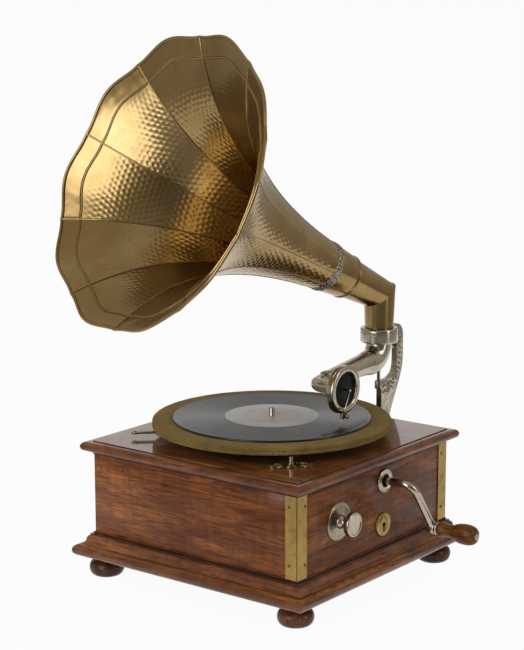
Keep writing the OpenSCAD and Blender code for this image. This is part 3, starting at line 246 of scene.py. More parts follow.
def dark_gloss(name, shade, paler, rough):
    """Dark gloss with a little dust: for dark fill, for smoked mica and for painted shade in a bore."""
    gloss = Finish(name, Specular_IOR_Level=0.12)
    dust = gloss.noise(160, 6, 0.7)
    gloss.give(Base_Color=gloss.ramp(dust, (0.45, shade), (0.8, paler)), Roughness=gloss.span(dust, *rough),
               Normal=gloss.bump(dust, 0.03, 0.4))
    return gloss.material


QUARTER = math.pi / 2
ALONG_X, ALONG_Y, UPRIGHT = (0, 0, 0), (0, 0, QUARTER), (0, QUARTER, 0)
WOOD_TONES = ((0.075, 0.02, 0.005), (0.2, 0.057, 0.012), (0.36, 0.132, 0.033))
MOULD_TONES = ((0.05, 0.014, 0.004), (0.175, 0.05, 0.011), (0.36, 0.136, 0.036))
wood_along_x = polished_wood("mahogany_along_x", ALONG_X, *WOOD_TONES)
wood_along_y = polished_wood("mahogany_along_y", ALONG_Y, *WOOD_TONES, coat=0.1)
mould_along_x = polished_wood("moulding_along_x", ALONG_X, *MOULD_TONES, wear=0.6, coat=0.6)
mould_along_y = polished_wood("moulding_along_y", ALONG_Y, *MOULD_TONES, wear=0.6, coat=0.6)
# painted shade: near-black wood laid in the mouldings' quirks and recesses, where shade falls
quirk_shade_wood = polished_wood("painted_quirk_shade", ALONG_X, (0.01, 0.004, 0.002), (0.03, 0.01, 0.004),
                            (0.07, 0.026, 0.009), wear=0.2, coat=0.1)
wood_upright = polished_wood("mahogany_turned", UPRIGHT, (0.04, 0.014, 0.006), (0.105, 0.04, 0.015),
                             (0.19, 0.085, 0.034))
board_wood = polished_wood("board_wood", ALONG_X, (0.09, 0.028, 0.009), (0.25, 0.086, 0.024),
                           (0.4, 0.165, 0.055), wear=0.4, coat=0.85)
rubbed_wood = polished_wood("rubbed_edges", ALONG_X, (0.12, 0.04, 0.011), (0.31, 0.125, 0.036),
                            (0.46, 0.22, 0.075), wear=0.6)
pine = polished_wood("inner_board", ALONG_X, (0.16, 0.085, 0.035), (0.26, 0.15, 0.07), (0.36, 0.22, 0.11), wear=0.2)
grip_wood = polished_wood("grip_wood", ALONG_X, (0.055, 0.018, 0.004), (0.155, 0.053, 0.011),
                          (0.3, 0.122, 0.03), wear=0.3, coat=0.1)
brass = horn_metal("horn_brass")
tube_brass = horn_metal("tube_brass", darker=0.92)
trim_brass = old_metal("trim_brass", (0.375, 0.25, 0.078), (0.28, 0.178, 0.05), (0.12, 0.07, 0.025), (0.2, 0.38))
nickel = old_metal("worn_nickel", (0.52, 0.465, 0.375), (0.42, 0.36, 0.275), (0.15, 0.115, 0.075), (0.13, 0.28),
                   patch=22, cover=(0.38, 0.7), grimy=0.4)
old_brass = old_metal("old_brass", (0.23, 0.155, 0.06), (0.13, 0.085, 0.034), (0.045, 0.028, 0.012), (0.2, 0.42),
                      patch=60)
cast_nickel = old_metal("cast_nickel", (0.48, 0.43, 0.345), (0.36, 0.31, 0.235), (0.09, 0.07, 0.045), (0.16, 0.34),
                        patch=70, cover=(0.4, 0.6), grimy=0.8)
dial_nickel = old_metal("dial_nickel", (0.385, 0.328, 0.235), (0.295, 0.24, 0.165), (0.12, 0.09, 0.06), (0.2, 0.36),
                        patch=50)
motor_steel = old_metal("motor_steel", (0.42, 0.42, 0.41), (0.3, 0.29, 0.27), (0.12, 0.09, 0.06), (0.3, 0.5))
motor_brass = old_metal("motor_brass", (0.62, 0.46, 0.18), (0.48, 0.33, 0.12), (0.2, 0.12, 0.05), (0.25, 0.45))
solder = old_metal("soft_solder", (0.58, 0.53, 0.45), (0.19, 0.15, 0.105), (0.05, 0.036, 0.024), (0.3, 0.6),
                   patch=420, cover=(0.42, 0.54), grimy=0.9)
dark_steel = old_metal("dark_steel", (0.09, 0.085, 0.08), (0.05, 0.047, 0.043), (0.02, 0.018, 0.016), (0.25, 0.45))
felt = felt_cloth()
shellac = pressed_shellac()
card = label_card()
leather = worn_leather()
mica = dark_gloss("smoked_mica", (0.004, 0.004, 0.004), (0.012, 0.012, 0.011), (0.3, 0.45))
# dark fill for ticks and nails, also used as painted shade in the crank flange's bore
dark_fill_and_bore_shade = dark_gloss("engraved_fill_and_bore_shade", (0.014, 0.011, 0.008), (0.05, 0.04, 0.03), (0.45, 0.7))
MOULD_FINISHES = (mould_along_y, rubbed_wood, board_wood, quirk_shade_wood)
SIDE_FACE, RUBBED_FACE, BOARD_FACE, QUIRK_SHADE_FACE = 1, 2, 3, 4    # their places after a moulding's first finish

SLOT_FINISH = {"mahogany": wood_along_x, "board_wood": pine, "grip_wood": grip_wood, "horn_brass": brass,
               "brass_trim": trim_brass, "nickel": nickel, "motor_steel": motor_steel, "motor_brass": motor_brass,
               "felt": felt, "record": shellac, "label_paper": card, "leather": leather, "mica": mica}
for part in frame["record"]["subparts"]:
    mesh = frame["nodes"][part["node"]].data
    mesh.materials.clear()
    mesh.materials.append(SLOT_FINISH[part["material_slot"]])
NODE_SLOT = {part["node"]: part["material_slot"] for part in frame["record"]["subparts"]}
NODE_BODY = {node: body for body, nodes in frame["record"]["behaviour"]["bodies"].items() for node in nodes}


# ---------------------------------------------------------------- shaping

def piece(name, bm, node, finish=None, extra=(), replaces=True, sharp=SHARP, slot=None):
    """Makes the mesh an object that rides with a node's body and, unless told not to, stands for the node."""
    bmesh.ops.scale(bm, vec=(MM, MM, MM), verts=bm.verts)
    mesh = bpy.data.meshes.new(name)
    bm.to_mesh(mesh)
    bm.free()
    slot = slot or NODE_SLOT[node]
    for material in (finish or SLOT_FINISH[slot], *extra):
        mesh.materials.append(material)
    mesh.shade_smooth()
    mesh.set_sharp_from_angle(angle=math.radians(sharp))
    made = bpy.data.objects.new(name, mesh)
    bpy.context.scene.collection.objects.link(made)
    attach(made, NODE_BODY[node])
    if replaces:
        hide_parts(node)
    return made


def thickened(made, thickness):
    """Gives an open sheet its wall, away from the side that its faces look to."""
    wall = made.modifiers.new("wall", "SOLIDIFY")
    wall.thickness = thickness * MM
    wall.offset = -1
    return made


def tidied(bm):
    """Merges doubled points and turns the faces outwards."""
    bmesh.ops.remove_doubles(bm, verts=bm.verts, dist=MERGE)
    bmesh.ops.recalc_face_normals(bm, faces=bm.faces)
    return bm


def moved(bm, *steps):
    """Moves the whole mesh by the product of matrices."""
    product = Matrix.Identity(4)
    for step in steps:
        product = product @ step
    bmesh.ops.transform(bm, matrix=product, verts=bm.verts)
    return bm


def shift(x, y, z):
    return Matrix.Translation((x, y, z))


def turn(angle, axis):
    return Matrix.Rotation(math.radians(angle), 4, axis)


TO_CRANK = turn(90, "Y")    # lays a lathe shape's axis along X


def whole(bm):
    """All of a mesh, for an operator."""
    return bm.verts[:] + bm.edges[:] + bm.faces[:]


def joined(*meshes):
    """One mesh out of several."""
    first = meshes[0]
    for other in meshes[1:]:
        spare = bpy.data.meshes.new("spare")
        other.to_mesh(spare)
        other.free()
        first.from_mesh(spare)
        bpy.data.meshes.remove(spare)
    return first


def turned(profile, steps=96, closed=False):
    """A lathe shape about Z from (radius, height) points."""
    bm = bmesh.new()
    verts = [bm.verts.new((radius, 0, height)) for radius, height in profile]
    ends = verts[1:] + verts[:1] if closed else verts[1:]
    edges = [bm.edges.new(pair) for pair in zip(verts, ends)]
    bmesh.ops.spin(bm, geom=verts + edges, axis=Z, cent=(0, 0, 0), angle=2 * math.pi, steps=steps, use_merge=True)
    return tidied(bm)


def arc(centre, radius, start, end, steps=8):
    """Points of an arc, by angle in degrees."""
    angles = [math.radians(start + (end - start) * i / steps) for i in range(steps + 1)]
    return [(centre[0] + radius * math.cos(a), centre[1] + radius * math.sin(a)) for a in angles]


def bowed(*points, steps=6):
    """Points of a smooth curve between its two ends, drawn towards the one or two guide points between them."""
    def at(share, guides):
        if len(guides) == 1:
            return guides[0]
        return at(share, [(a[0] + (b[0] - a[0]) * share, a[1] + (b[1] - a[1]) * share)
                          for a, b in zip(guides, guides[1:])])
    return [at(i / steps, points) for i in range(steps + 1)]


def wrapped(columns, rows, place):
    """A flat grid laid on the surface that place(across, along) gives, both from 0 to 1."""
    bm = bmesh.new()
    bmesh.ops.create_grid(bm, x_segments=columns, y_segments=rows, size=0.5)
    for vert in bm.verts:
        vert.co = place(vert.co.x + 0.5, vert.co.y + 0.5)
    bmesh.ops.remove_doubles(bm, verts=bm.verts, dist=MERGE)
    return bm


def moulded_square(profile):
    """A moulding run round a square, from (half width, height) points; its ends are closed."""
    bm = bmesh.new()
    half, height = profile[0]
    corners = [bm.verts.new((x * half, y * half, height)) for x, y in ((-1, -1), (1, -1), (1, 1), (-1, 1))]
    loop = [bm.edges.new((a, b)) for a, b in zip(corners, corners[1:] + corners[:1])]
    bmesh.ops.contextual_create(bm, geom=loop)
    for (old, low), (new, high) in zip(profile, profile[1:]):
        grown = bmesh.ops.extrude_edge_only(bm, edges=loop)["geom"]
        loop = [item for item in grown if isinstance(item, bmesh.types.BMEdge)]
        verts = [item for item in grown if isinstance(item, bmesh.types.BMVert)]
        bmesh.ops.scale(bm, vec=(new / old, new / old, 1), verts=verts)
        bmesh.ops.translate(bm, vec=(0, 0, high - low), verts=verts)
    bmesh.ops.contextual_create(bm, geom=loop)
    long_edges = [edge for edge in bm.edges if edge.calc_length() > half and len(edge.link_faces)]
    bmesh.ops.subdivide_edges(bm, edges=long_edges, cuts=10, use_grid_fill=True)
    return tidied(bm)


def by_side(bm, boarded, worn, quirk_shade):
    """Gives a moulding's faces their places in MOULD_FINISHES.

    The worn bands are (reach from, low, high); the bands of painted shade in the quirks and recesses are (reach to,
    low, high). Where boarded is set, the flat top is a board.
    """
    for face in bm.faces:
        middle = face.calc_center_median()
        face.material_index = SIDE_FACE if abs(middle.x) > abs(middle.y) else 0
        reach = max(abs(middle.x), abs(middle.y))
        if any(inner < reach and low < middle.z < high for inner, low, high in worn):
            face.material_index = RUBBED_FACE
        # painted shade: faces in these quirk and recess bands get the near-black wood
        if any(reach < outer and low < middle.z < high for outer, low, high in quirk_shade):
            face.material_index = QUIRK_SHADE_FACE
        if boarded and face.normal.z > 0.99 and face.calc_area() > 60:
            face.material_index = BOARD_FACE
    return bm


def ringed(profile, steps, *place):
    """A closed lathe shape, moved to its place."""
    return moved(turned(profile, steps, closed=True), *place)


def dome(radius, height, *place):
    """A low round boss with few faces, moved to its place."""
    return moved(turned([(0, height), (0.6 * radius, 0.8 * height), (radius, 0.0), (0, -0.3)], 12), *place)


def bar(size, *place):
    """A straight bar with its edges taken off, moved to its place."""
    bm = bmesh.new()
    bmesh.ops.create_cube(bm, size=1)
    bmesh.ops.scale(bm, vec=size, verts=bm.verts)
    bmesh.ops.bevel(bm, geom=bm.edges, offset=0.2 * min(size), offset_type="OFFSET", affect="EDGES", segments=2,
                    profile=0.5, clamp_overlap=True, material=-1)
    return moved(bm, *place)


def softened(node, width, segments=2):
    """A merged copy of a solid with its sharp edges rounded by width."""
    bm = bmesh.new()
    bm.from_mesh(frame["nodes"][node].data)
    bmesh.ops.scale(bm, vec=(1 / MM, 1 / MM, 1 / MM), verts=bm.verts)
    bmesh.ops.remove_doubles(bm, verts=bm.verts, dist=MERGE)
    bmesh.ops.dissolve_limit(bm, angle_limit=math.radians(0.5), verts=bm.verts, edges=bm.edges)
    sharp = [edge for edge in bm.edges
             if len(edge.link_faces) == 2 and edge.calc_face_angle(0) > math.radians(SHARP)]
    bmesh.ops.bevel(bm, geom=sharp, offset=width, offset_type="OFFSET", affect="EDGES", segments=segments,
                    profile=0.5, clamp_overlap=True, material=-1)
    return bm


def screw(radius, height, *place):
    """A small domed screw head with a slot, standing on z = 0, moved to its place."""
    crown = bowed((0.5 * radius, height * 0.97), (radius * 0.9, height * 0.8), (radius, 0), steps=4)
    bm = turned([(0.0, height), *crown, (radius, -0.3), (0.0, -0.3)], 20)
    for side in (-1, 1):
        bmesh.ops.bisect_plane(bm, geom=whole(bm), plane_co=(0, side * 0.16 * radius, 0), plane_no=(0, 1, 0))
    slot = [vert for vert in bm.verts if abs(vert.co.y) < 0.15 * radius and vert.co.z > 0.3 * height]
    bmesh.ops.translate(bm, vec=(0, 0, -0.5 * height), verts=slot)
    return moved(bm, *place)


# ---------------------------------------------------------------- camera and light

LENS, SENSOR = 102.09, 36
CAMERA_PLACE = (1.364195, -1.780654, 0.7602)
AZIMUTH, PITCH, ROLL = math.radians(37.77), math.radians(11.25), math.radians(-0.08)


def place_camera():
    """The camera, fitted to the case's straight edges in the picture."""
    right = Vector((math.cos(AZIMUTH), math.sin(AZIMUTH), 0))
    back = Vector((math.sin(AZIMUTH) * math.cos(PITCH), -math.cos(AZIMUTH) * math.cos(PITCH), math.sin(PITCH)))
    look = Matrix((right, back.cross(right), back)).transposed().to_4x4() @ Matrix.Rotation(ROLL, 4, "Z")
    view = bpy.data.cameras.new("camera")
    view.sensor_fit, view.sensor_height, view.lens = "VERTICAL", SENSOR, LENS
    camera = bpy.data.objects.new("camera", view)
    camera.matrix_world = Matrix.Translation(CAMERA_PLACE) @ look
    bpy.context.scene.collection.objects.link(camera)
    bpy.context.scene.camera = camera


def soft_light(name, place, target, size, power, colour=(1, 1, 1)):
    lamp = bpy.data.lights.new(name, "AREA")
    lamp.shape, lamp.size, lamp.size_y, lamp.energy, lamp.color = "RECTANGLE", size[0], size[1], power, colour
    holder = bpy.data.objects.new(name, lamp)
    aim = (Vector(target) - Vector(place)).to_track_quat("-Z", "Y").to_matrix().to_4x4()
    holder.matrix_world = Matrix.Translation(place) @ aim
    holder.visible_camera = False
    bpy.context.scene.collection.objects.link(holder)


def room():
    """Warm grey surroundings, brighter above and darker to the right."""
    world = bpy.data.worlds.new("room")
    bpy.context.scene.world = world
    world.use_nodes = True
    tree = world.node_tree
    sky = tree.nodes.new("ShaderNodeTexCoord").outputs["Generated"]
    split = tree.nodes.new("ShaderNodeSeparateXYZ")
    height = tree.nodes.new("ShaderNodeMapRange")
    shades = tree.nodes.new("ShaderNodeValToRGB")
    towards = tree.nodes.new("ShaderNodeVectorMath")
    dusk = tree.nodes.new("ShaderNodeMapRange")
    height.inputs["From Min"].default_value = -1
    for element, (where, shade) in zip(shades.color_ramp.elements, ((0.35, 0.36), (0.75, 0.5))):
        element.position, element.color = where, (shade, shade * 0.95, shade * 0.87, 1)
    towards.operation = "DOT_PRODUCT"
    towards.inputs[1].default_value = (0.90, -0.44, 0.0)
    for key, value in (("From Min", 0.35), ("From Max", 0.9), ("To Min", 1.0), ("To Max", 0.3)):
        dusk.inputs[key].default_value = value
    tree.links.new(sky, split.inputs[0])
    tree.links.new(sky, towards.inputs[0])
    tree.links.new(split.outputs[2], height.inputs["Value"])
    tree.links.new(height.outputs[0], shades.inputs[0])
    tree.links.new(towards.outputs["Value"], dusk.inputs["Value"])
    tree.links.new(shades.outputs[0], tree.nodes["Background"].inputs["Color"])
    tree.links.new(dusk.outputs[0], tree.nodes["Background"].inputs["Strength"])


def sweep_finish():
    """Paper that is white behind the object, where cameras and mirrors see it glow, and grey in front of it."""
    sweep = Finish("pale_sweep", Roughness=0.9, Specular_IOR_Level=0.1)
    away = (-math.sin(AZIMUTH), math.cos(AZIMUTH), 0)
    depth = sweep.node("VectorMath", {0: sweep.place, 1: away}, operation="DOT_PRODUCT").outputs["Value"]
    pale = sweep.node("MapRange", {"Value": depth, "From Min": -0.46, "From Max": -0.34}).outputs[0]
    rays = sweep.node("LightPath").outputs
    mirrored = sweep.sum("MAXIMUM", rays["Is Glossy Ray"], rays["Is Transmission Ray"])
    seen = sweep.sum("MAXIMUM", rays["Is Camera Ray"], mirrored)
    glow = sweep.node("Emission", {"Strength": 1.0})
    share = sweep.sum("MULTIPLY", pale, sweep.sum("MULTIPLY", seen, 0.95))
    sweep.give(Base_Color=sweep.ramp(pale, (0.0, 0.36), (1.0, 0.86)))
    blend = sweep.node("MixShader", {0: share, 1: sweep.shader.outputs[0], 2: glow.outputs[0]})
    sweep.tree.links.new(blend.outputs[0], sweep.tree.nodes["Material Output"].inputs[0])
    return sweep.material


def sweep():
    """Floor square to the view that bends up into a wall far behind the object."""
    front, wall, bend, tall, wide = 1700, 4800, 700, 1700, 1080
    line = [(-front, 0), (wall - bend, 0), *arc((wall - bend, bend), bend, -90, 0, 12), (wall, tall)]
    bm = bmesh.new()
    verts = [bm.verts.new((-wide, along, height)) for along, height in line]
    edges = [bm.edges.new(pair) for pair in zip(verts, verts[1:])]
    grown = bmesh.ops.extrude_edge_only(bm, edges=edges)["geom"]
    bmesh.ops.translate(bm, vec=(2 * wide, 0, 0), verts=[v for v in grown if isinstance(v, bmesh.types.BMVert)])
    moved(bm, Matrix.Scale(MM, 4) @ Matrix.Rotation(AZIMUTH, 4, "Z"))
    mesh = bpy.data.meshes.new("sweep")
    bm.to_mesh(mesh)
    bm.free()
    mesh.materials.append(sweep_finish())
    mesh.shade_smooth()
    floor = bpy.data.objects.new("sweep", mesh)
    bpy.context.scene.collection.objects.link(floor)


bpy.context.scene.view_settings.view_transform = "Standard"
place_camera()
room()
sweep()
soft_light("key", (-0.1, -2.6, 1.2), (-0.05, -0.1, 0.85), (1.5, 2.4), 40, (0.95, 1, 1.1))
soft_light("side", (2.4, 0.5, 1.6), (0.1, 0, 0.25), (0.7, 1.4), 11)
soft_light("low", (1.5, 0.25, 0.3), (0.04, 0.17, 0.3), (0.22, 0.6), 1.3)


# ---------------------------------------------------------------- horn

PETALS = 10
PETAL_ANGLE = 360 / PETALS
FIRST_SEAM = 4.2
THROAT, MOUTH, THROAT_R, MOUTH_R = 106, 384, 31, 180.4
FLARE = 0.0037
CURL = (math.log(MOUTH_R / THROAT_R) - FLARE * (MOUTH - THROAT)) / (MOUTH - THROAT) ** 2
BAND = 13.5
SHEET = 1.0
PETAL_FLAT, FLAT_OVER = 0.5, 40
PETAL_BULGE = 0.013
LEAN_ASIDE, LEAN_BACK = 6.5, 10
RIM_LOBE = 4
MARK_ROW, MARK_STEP, MARK_R, MARK_DEEP = 6.2, 7.2, 4.2, 0.25
STRAY_ACROSS, STRAY_ALONG = 1.6, 1.4
ARM_X, ARM_Y = 40, 178
HORN_BEND = shift(ARM_X, ARM_Y, 332)
HORN_FACING = HORN_BEND @ turn(-105.4, "Z")
HORN_TILT = 63.5
HORN = HORN_FACING @ turn(HORN_TILT, "Y")


def flare(petal, across, along, lift=0.0):
    """A point of the horn's inner face: across the petal from 0 to 1, along the axis, lifted outwards."""
    out = along - THROAT
    share = (out / (MOUTH - THROAT)) ** 2
    radius = THROAT_R * math.exp(FLARE * out + CURL * out * out)
    slope = radius * (FLARE + 2 * CURL * out)
    steep = math.hypot(1, slope)
    flat = PETAL_FLAT * (1 - math.exp(-out / FLAT_OVER))
    half = math.radians(PETAL_ANGLE / 2)
    panel = 1 - flat * (1 - math.cos(half) / math.cos(half * (2 * across - 1)))
    bulge = 1 + PETAL_BULGE * math.sin(math.pi * across) ** 2 * share
    radius = radius * panel * bulge + lift / steep
    angle = math.radians(FIRST_SEAM + (petal + across) * PETAL_ANGLE)
    lean = share * (-LEAN_ASIDE * math.sin(angle) - LEAN_BACK * math.cos(angle))
    return Vector((radius * math.cos(angle), radius * math.sin(angle), along + lean - lift * slope / steep))


def rim_line(across):
    """How far along the axis a petal ends: each one has a lobe."""
    return MOUTH + RIM_LOBE * math.sin(math.pi * across) ** 2


def run_length():
    """Length of the petal's line from the throat, for each whole millimetre along the axis."""
    total, table = 0.0, [0.0]
    for s in range(THROAT, MOUTH + RIM_LOBE + 2):
        total += (flare(0, 0.5, s + 1) - flare(0, 0.5, s)).length
        table.append(total)
    return table


RUN = run_length()


def hammer_mark(petal, across, along):
    """Outward push of the nearest hammer mark: staggered rows, each mark a little out of line."""
    near = MARK_R
    middle = round(along / MARK_ROW)
    for row in (middle - 1, middle, middle + 1):
        stagger = 0.5 * (row % 2)
        column = round(across / MARK_STEP - stagger)
        stray = noise.cell_vector(Vector((column, row, petal)))
        near = min(near, math.hypot(across - (column + stagger) * MARK_STEP - STRAY_ACROSS * (stray.x - 0.5),
                                    along - row * MARK_ROW - STRAY_ALONG * (stray.y - 0.5)))
    return MARK_DEEP * 0.5 * (1 + math.cos(math.pi * near / MARK_R))


def petal_sheet(petal):
    """One hammered petal up to the band; its rows lie closer towards the mouth and its edges stay plain."""
    def place(across, along):
        across = 1 - across
        reach = along * (1.32 - 0.32 * along)
        s = THROAT + reach * (rim_line(across) - BAND - THROAT)
        plain = flare(petal, across, s)
        width = 2 * math.pi * math.hypot(plain.x, plain.y) / PETALS
        mark = int(s - THROAT)
        run = RUN[mark] + (s - THROAT - mark) * (RUN[mark + 1] - RUN[mark])
        fade = min(1, min(across, 1 - across) * width / 3, (1 - along) * 9, along * 40)
        return flare(petal, across, s, fade * hammer_mark(petal, (across - 0.5) * width, run))
    return moved(wrapped(88, 220, place), HORN)


def tube(columns, rows, centre, size):
    """A bar along centre(along), as wide as size(along) across the sheet and through it."""
    def place(across, along):
        angle = 2 * math.pi * across
        middle, side, up = centre(along)
        wide, high = size(along)
        return middle + side * (wide * math.cos(angle)) + up * (high * math.sin(angle))
    return tidied(wrapped(columns, rows, place))


def along_seam(petal):
    """The standing seam where a petal starts, thicker towards the mouth."""
    def centre(along):
        s = THROAT + 2 + along * (MOUTH - THROAT - 2)
        middle, higher = flare(petal, 0, s, 0.2), flare(petal, 0, s, 1.2)
        side = flare(petal, 0.01, s, 0.2) - middle
        return middle, side.normalized(), (higher - middle).normalized()
    return tube(10, 90, centre, lambda along: (0.75 + 0.65 * along, 1.3 + 0.3 * along))


def petal_at(way):
    """The petal that lies at a way round the horn, from 0 to 1, and how far across it that is."""
    place = min(way * PETALS, PETALS - 1e-6)
    return int(place), place - int(place)


def around_mouth(line, lift):
    """The way round the horn at a line across each petal."""
    def centre(along):
        petal, across = petal_at(along)
        s = line(across)
        middle = flare(petal, across, s, lift)
        up = (flare(petal, across, s, lift + 1) - middle).normalized()
        side = (flare(petal, across, s + 1, lift) - middle).normalized()
        return middle, side, up
    return centre


def horn_band():
    """The plain strip between the petals and the rim, not quite even."""
    def place(across, along):
        petal, t = petal_at(1 - across)
        s = rim_line(t) - BAND * (1 - along)
        return flare(petal, t, s, 0.25 * noise.noise(flare(petal, t, s) / 9))
    return moved(wrapped(PETALS * 24, 8, place), HORN)


for number in range(PETALS):
    thickened(piece(f"horn_petal_{number}", petal_sheet(number), "horn_petals", sharp=60), SHEET)
seams = joined(*[along_seam(number) for number in range(PETALS)])
piece("horn_seams", moved(seams, HORN), "horn_petals", sharp=60)
thickened(piece("horn_band_sheet", horn_band(), "horn_band", sharp=60), SHEET)
bead = tube(10, PETALS * 26, around_mouth(lambda t: rim_line(t) - BAND, 0.2), lambda along: (1.5, 1.6))
piece("horn_bead", moved(bead, HORN), "horn_band", sharp=60)
wire = tube(14, PETALS * 26, around_mouth(rim_line, SHEET / 2), lambda along: (2.0, 2.0))
piece("horn_rim_wire", moved(wire, HORN), "horn_rim", sharp=60)
NECK_LINE = [(26.23, 62), (27.63, 62), (27.8, 63.4), *arc((27.9, 65.3), 1.35, -70, 70, 8), (28.1, 67.1),
             (28.4, 68.6), (30.2, 86), (32.4, THROAT), (THROAT_R, THROAT)]
piece("horn_neck_tube", ringed(NECK_LINE, 96, HORN), "horn_neck", tube_brass)


def horn_elbow():
    """Two tapered tubes cut off along one slanting plane."""
    cut = HORN_FACING @ turn(HORN_TILT / 2, "Y")
    centre, normal = cut.translation, cut.to_3x3() @ Z
    upright = moved(turned([(18.75, -53.38), (18.75, -42.93), (19.1, -36), (22.0, 40)], 96), HORN_BEND)
    slanted = moved(turned([(17.3, -40), (20.8, 0), (26.7, 68)], 96), HORN)
    for tube_half, keep_low in ((upright, True), (slanted, False)):
        bmesh.ops.bisect_plane(tube_half, geom=whole(tube_half), plane_co=centre, plane_no=normal,
                               clear_outer=keep_low, clear_inner=not keep_low)
    bm = joined(upright, slanted)
    bmesh.ops.solidify(bm, geom=bm.faces[:], thickness=1.2)
    return bm


piece("horn_elbow_tube", horn_elbow(), "horn_elbow", tube_brass)
SOLDER_LOW, SOLDER_HIGH = 99, 111


def solder_band():
    """Ragged grey joint where the petals meet the neck."""
    def place(across, along):
        angle = 2 * math.pi * across
        spot = Vector((math.cos(angle), math.sin(angle), 0)) * 5
        low = SOLDER_LOW + 2.2 * noise.noise(spot) + 1.5 * noise.noise(spot * 4)
        high = SOLDER_HIGH + 4 * noise.noise(spot + Z * 3) + 3.5 * noise.noise(spot * 5 + Z)
        s = low + along * (high - low)
        swell = math.sin(math.pi * along) ** 0.5
        lump = SHEET + 0.15 + swell * (0.8 + 0.7 * noise.noise(Vector((spot.x * 4, spot.y * 4, s / 1.6))))
        turns = (math.degrees(angle) - FIRST_SEAM) % 360 / PETAL_ANGLE
        petal = min(int(turns), PETALS - 1)
        return flare(petal, turns - petal, max(s, THROAT), lump) + Z * min(0, s - THROAT)
    return moved(tidied(wrapped(260, 22, place)), HORN)


thickened(piece("horn_solder", solder_band(), "horn_neck", solder, replaces=False, sharp=60), 0.5)


# ---------------------------------------------------------------- case

PANEL, PANEL_TOP, BOARD_TOP = 157.5, 157, 174
BASE_IN, BASE_LOW, BASE_TOP = 137.5, 26, 57
STRIP_W, STRIP_T, STRIP_GAP = 17, 0.9, 0.8
STRIP_H, STRIP_Z = 100, 107
BOARD_EDGE = [*arc((162, PANEL_TOP), 3.5, 180, 90, 6), (162, 161), *arc((164.1, 166.9), 5.9, -90, 90, 14),
              (158.5, 172.8), (158.5, 173.6), (158.1, BOARD_TOP)]
TOP_WORN = (166, 161.4, 163.2), (158.2, 173.4, 173.9)
# bands of painted shade (reach to, low, high): the cove under the nosing and the quirk by the board
TOP_QUIRK_SHADE = (162.6, 157.2, 161.2), (158.9, 172.7, 173.3)
BASE_EDGE = [(165, BASE_LOW), *arc((171.5, 33.5), 7.5, -90, 90, 16),
             *bowed((171.3, 41), (167.3, 41.6), (165.9, 45.5), (165.5, 48.4)),
             *bowed((165.5, 48.4), (165, 51.6), (162.3, 52.4), steps=4), (162.3, 54.2), (159.4, 54.2), (159, 54.6),
             (159, 56.6), (158.6, BASE_TOP)]
BASE_WORN = (170, 39.6, 41.2), (170, 26.4, 27.6), (162, 53.6, 54.4)
# bands of painted shade: the step under the panel and the quirk below it
BASE_QUIRK_SHADE = (159.3, 54.3, 56.5), (162.6, 52.4, 53.5)


def base():
    """The base moulding, hollow under the case."""
    bm = moulded_square([(BASE_IN, BASE_TOP), (BASE_IN, BASE_LOW), *BASE_EDGE])
    caps = [face for face in bm.faces if abs(face.normal.z) > 0.9
            and max(max(abs(vert.co.x), abs(vert.co.y)) for vert in face.verts) < BASE_IN + 0.1]
    bmesh.ops.delete(bm, geom=caps, context="FACES")
    return bm


top = by_side(moulded_square([(150, PANEL_TOP), *BOARD_EDGE]), True, TOP_WORN, TOP_QUIRK_SHADE)
piece("case_top", top, "top_board", mould_along_x, MOULD_FINISHES)
piece("case_base", by_side(base(), False, BASE_WORN, BASE_QUIRK_SHADE), "base_moulding", mould_along_x, MOULD_FINISHES)
for side, finish in (("front", wood_along_x), ("back", wood_along_x), ("left", wood_along_y), ("right", wood_along_y)):
    piece(f"case_{side}", softened(f"{side}_panel", 0.4), f"{side}_panel", finish)

FOOT, FOOT_R, FOOT_H = 148, 22.5, 26
FOOT_LINE = [(0, 0), (0.55 * FOOT_R, 0),
             *bowed((0.62 * FOOT_R, 0.4), (1.02 * FOOT_R, 1.2), (1.06 * FOOT_R, 0.55 * FOOT_H),
                    (0.86 * FOOT_R, 0.68 * FOOT_H), steps=14),
             *bowed((0.86 * FOOT_R, 0.68 * FOOT_H), (0.66 * FOOT_R, 0.76 * FOOT_H), (0.62 * FOOT_R, 0.82 * FOOT_H),
                    steps=5),
             *bowed((0.64 * FOOT_R, 0.84 * FOOT_H), (0.72 * FOOT_R, 0.86 * FOOT_H), (0.72 * FOOT_R, 0.93 * FOOT_H),
                    steps=4),
             (0.72 * FOOT_R, FOOT_H), (0, FOOT_H)]
feet = [moved(turned(FOOT_LINE, 56), shift(x * FOOT, y * FOOT, 0)) for x in (-1, 1) for y in (-1, 1)]
piece("bun_feet", joined(*feet), "feet", wood_upright)


def corner_plates():
    """Two brass angles: a leg on each face, with a dark seam where they meet."""
    legs = []
    for side in (-1, 1):
        legs.append(bar((STRIP_T, STRIP_W + STRIP_T, STRIP_H),
                        shift(PANEL + STRIP_T / 2, side * (PANEL - (STRIP_W - STRIP_T) / 2), STRIP_Z)))
        legs.append(bar((STRIP_W - STRIP_GAP, STRIP_T, STRIP_H),
                        shift(PANEL - (STRIP_W + STRIP_GAP) / 2, side * (PANEL + STRIP_T / 2), STRIP_Z)))
    return joined(*legs)


piece("corner_plates", corner_plates(), "corner_strips", sharp=10)
piece("lock_plate", softened("keyhole_plate", 0.35), "keyhole_plate")

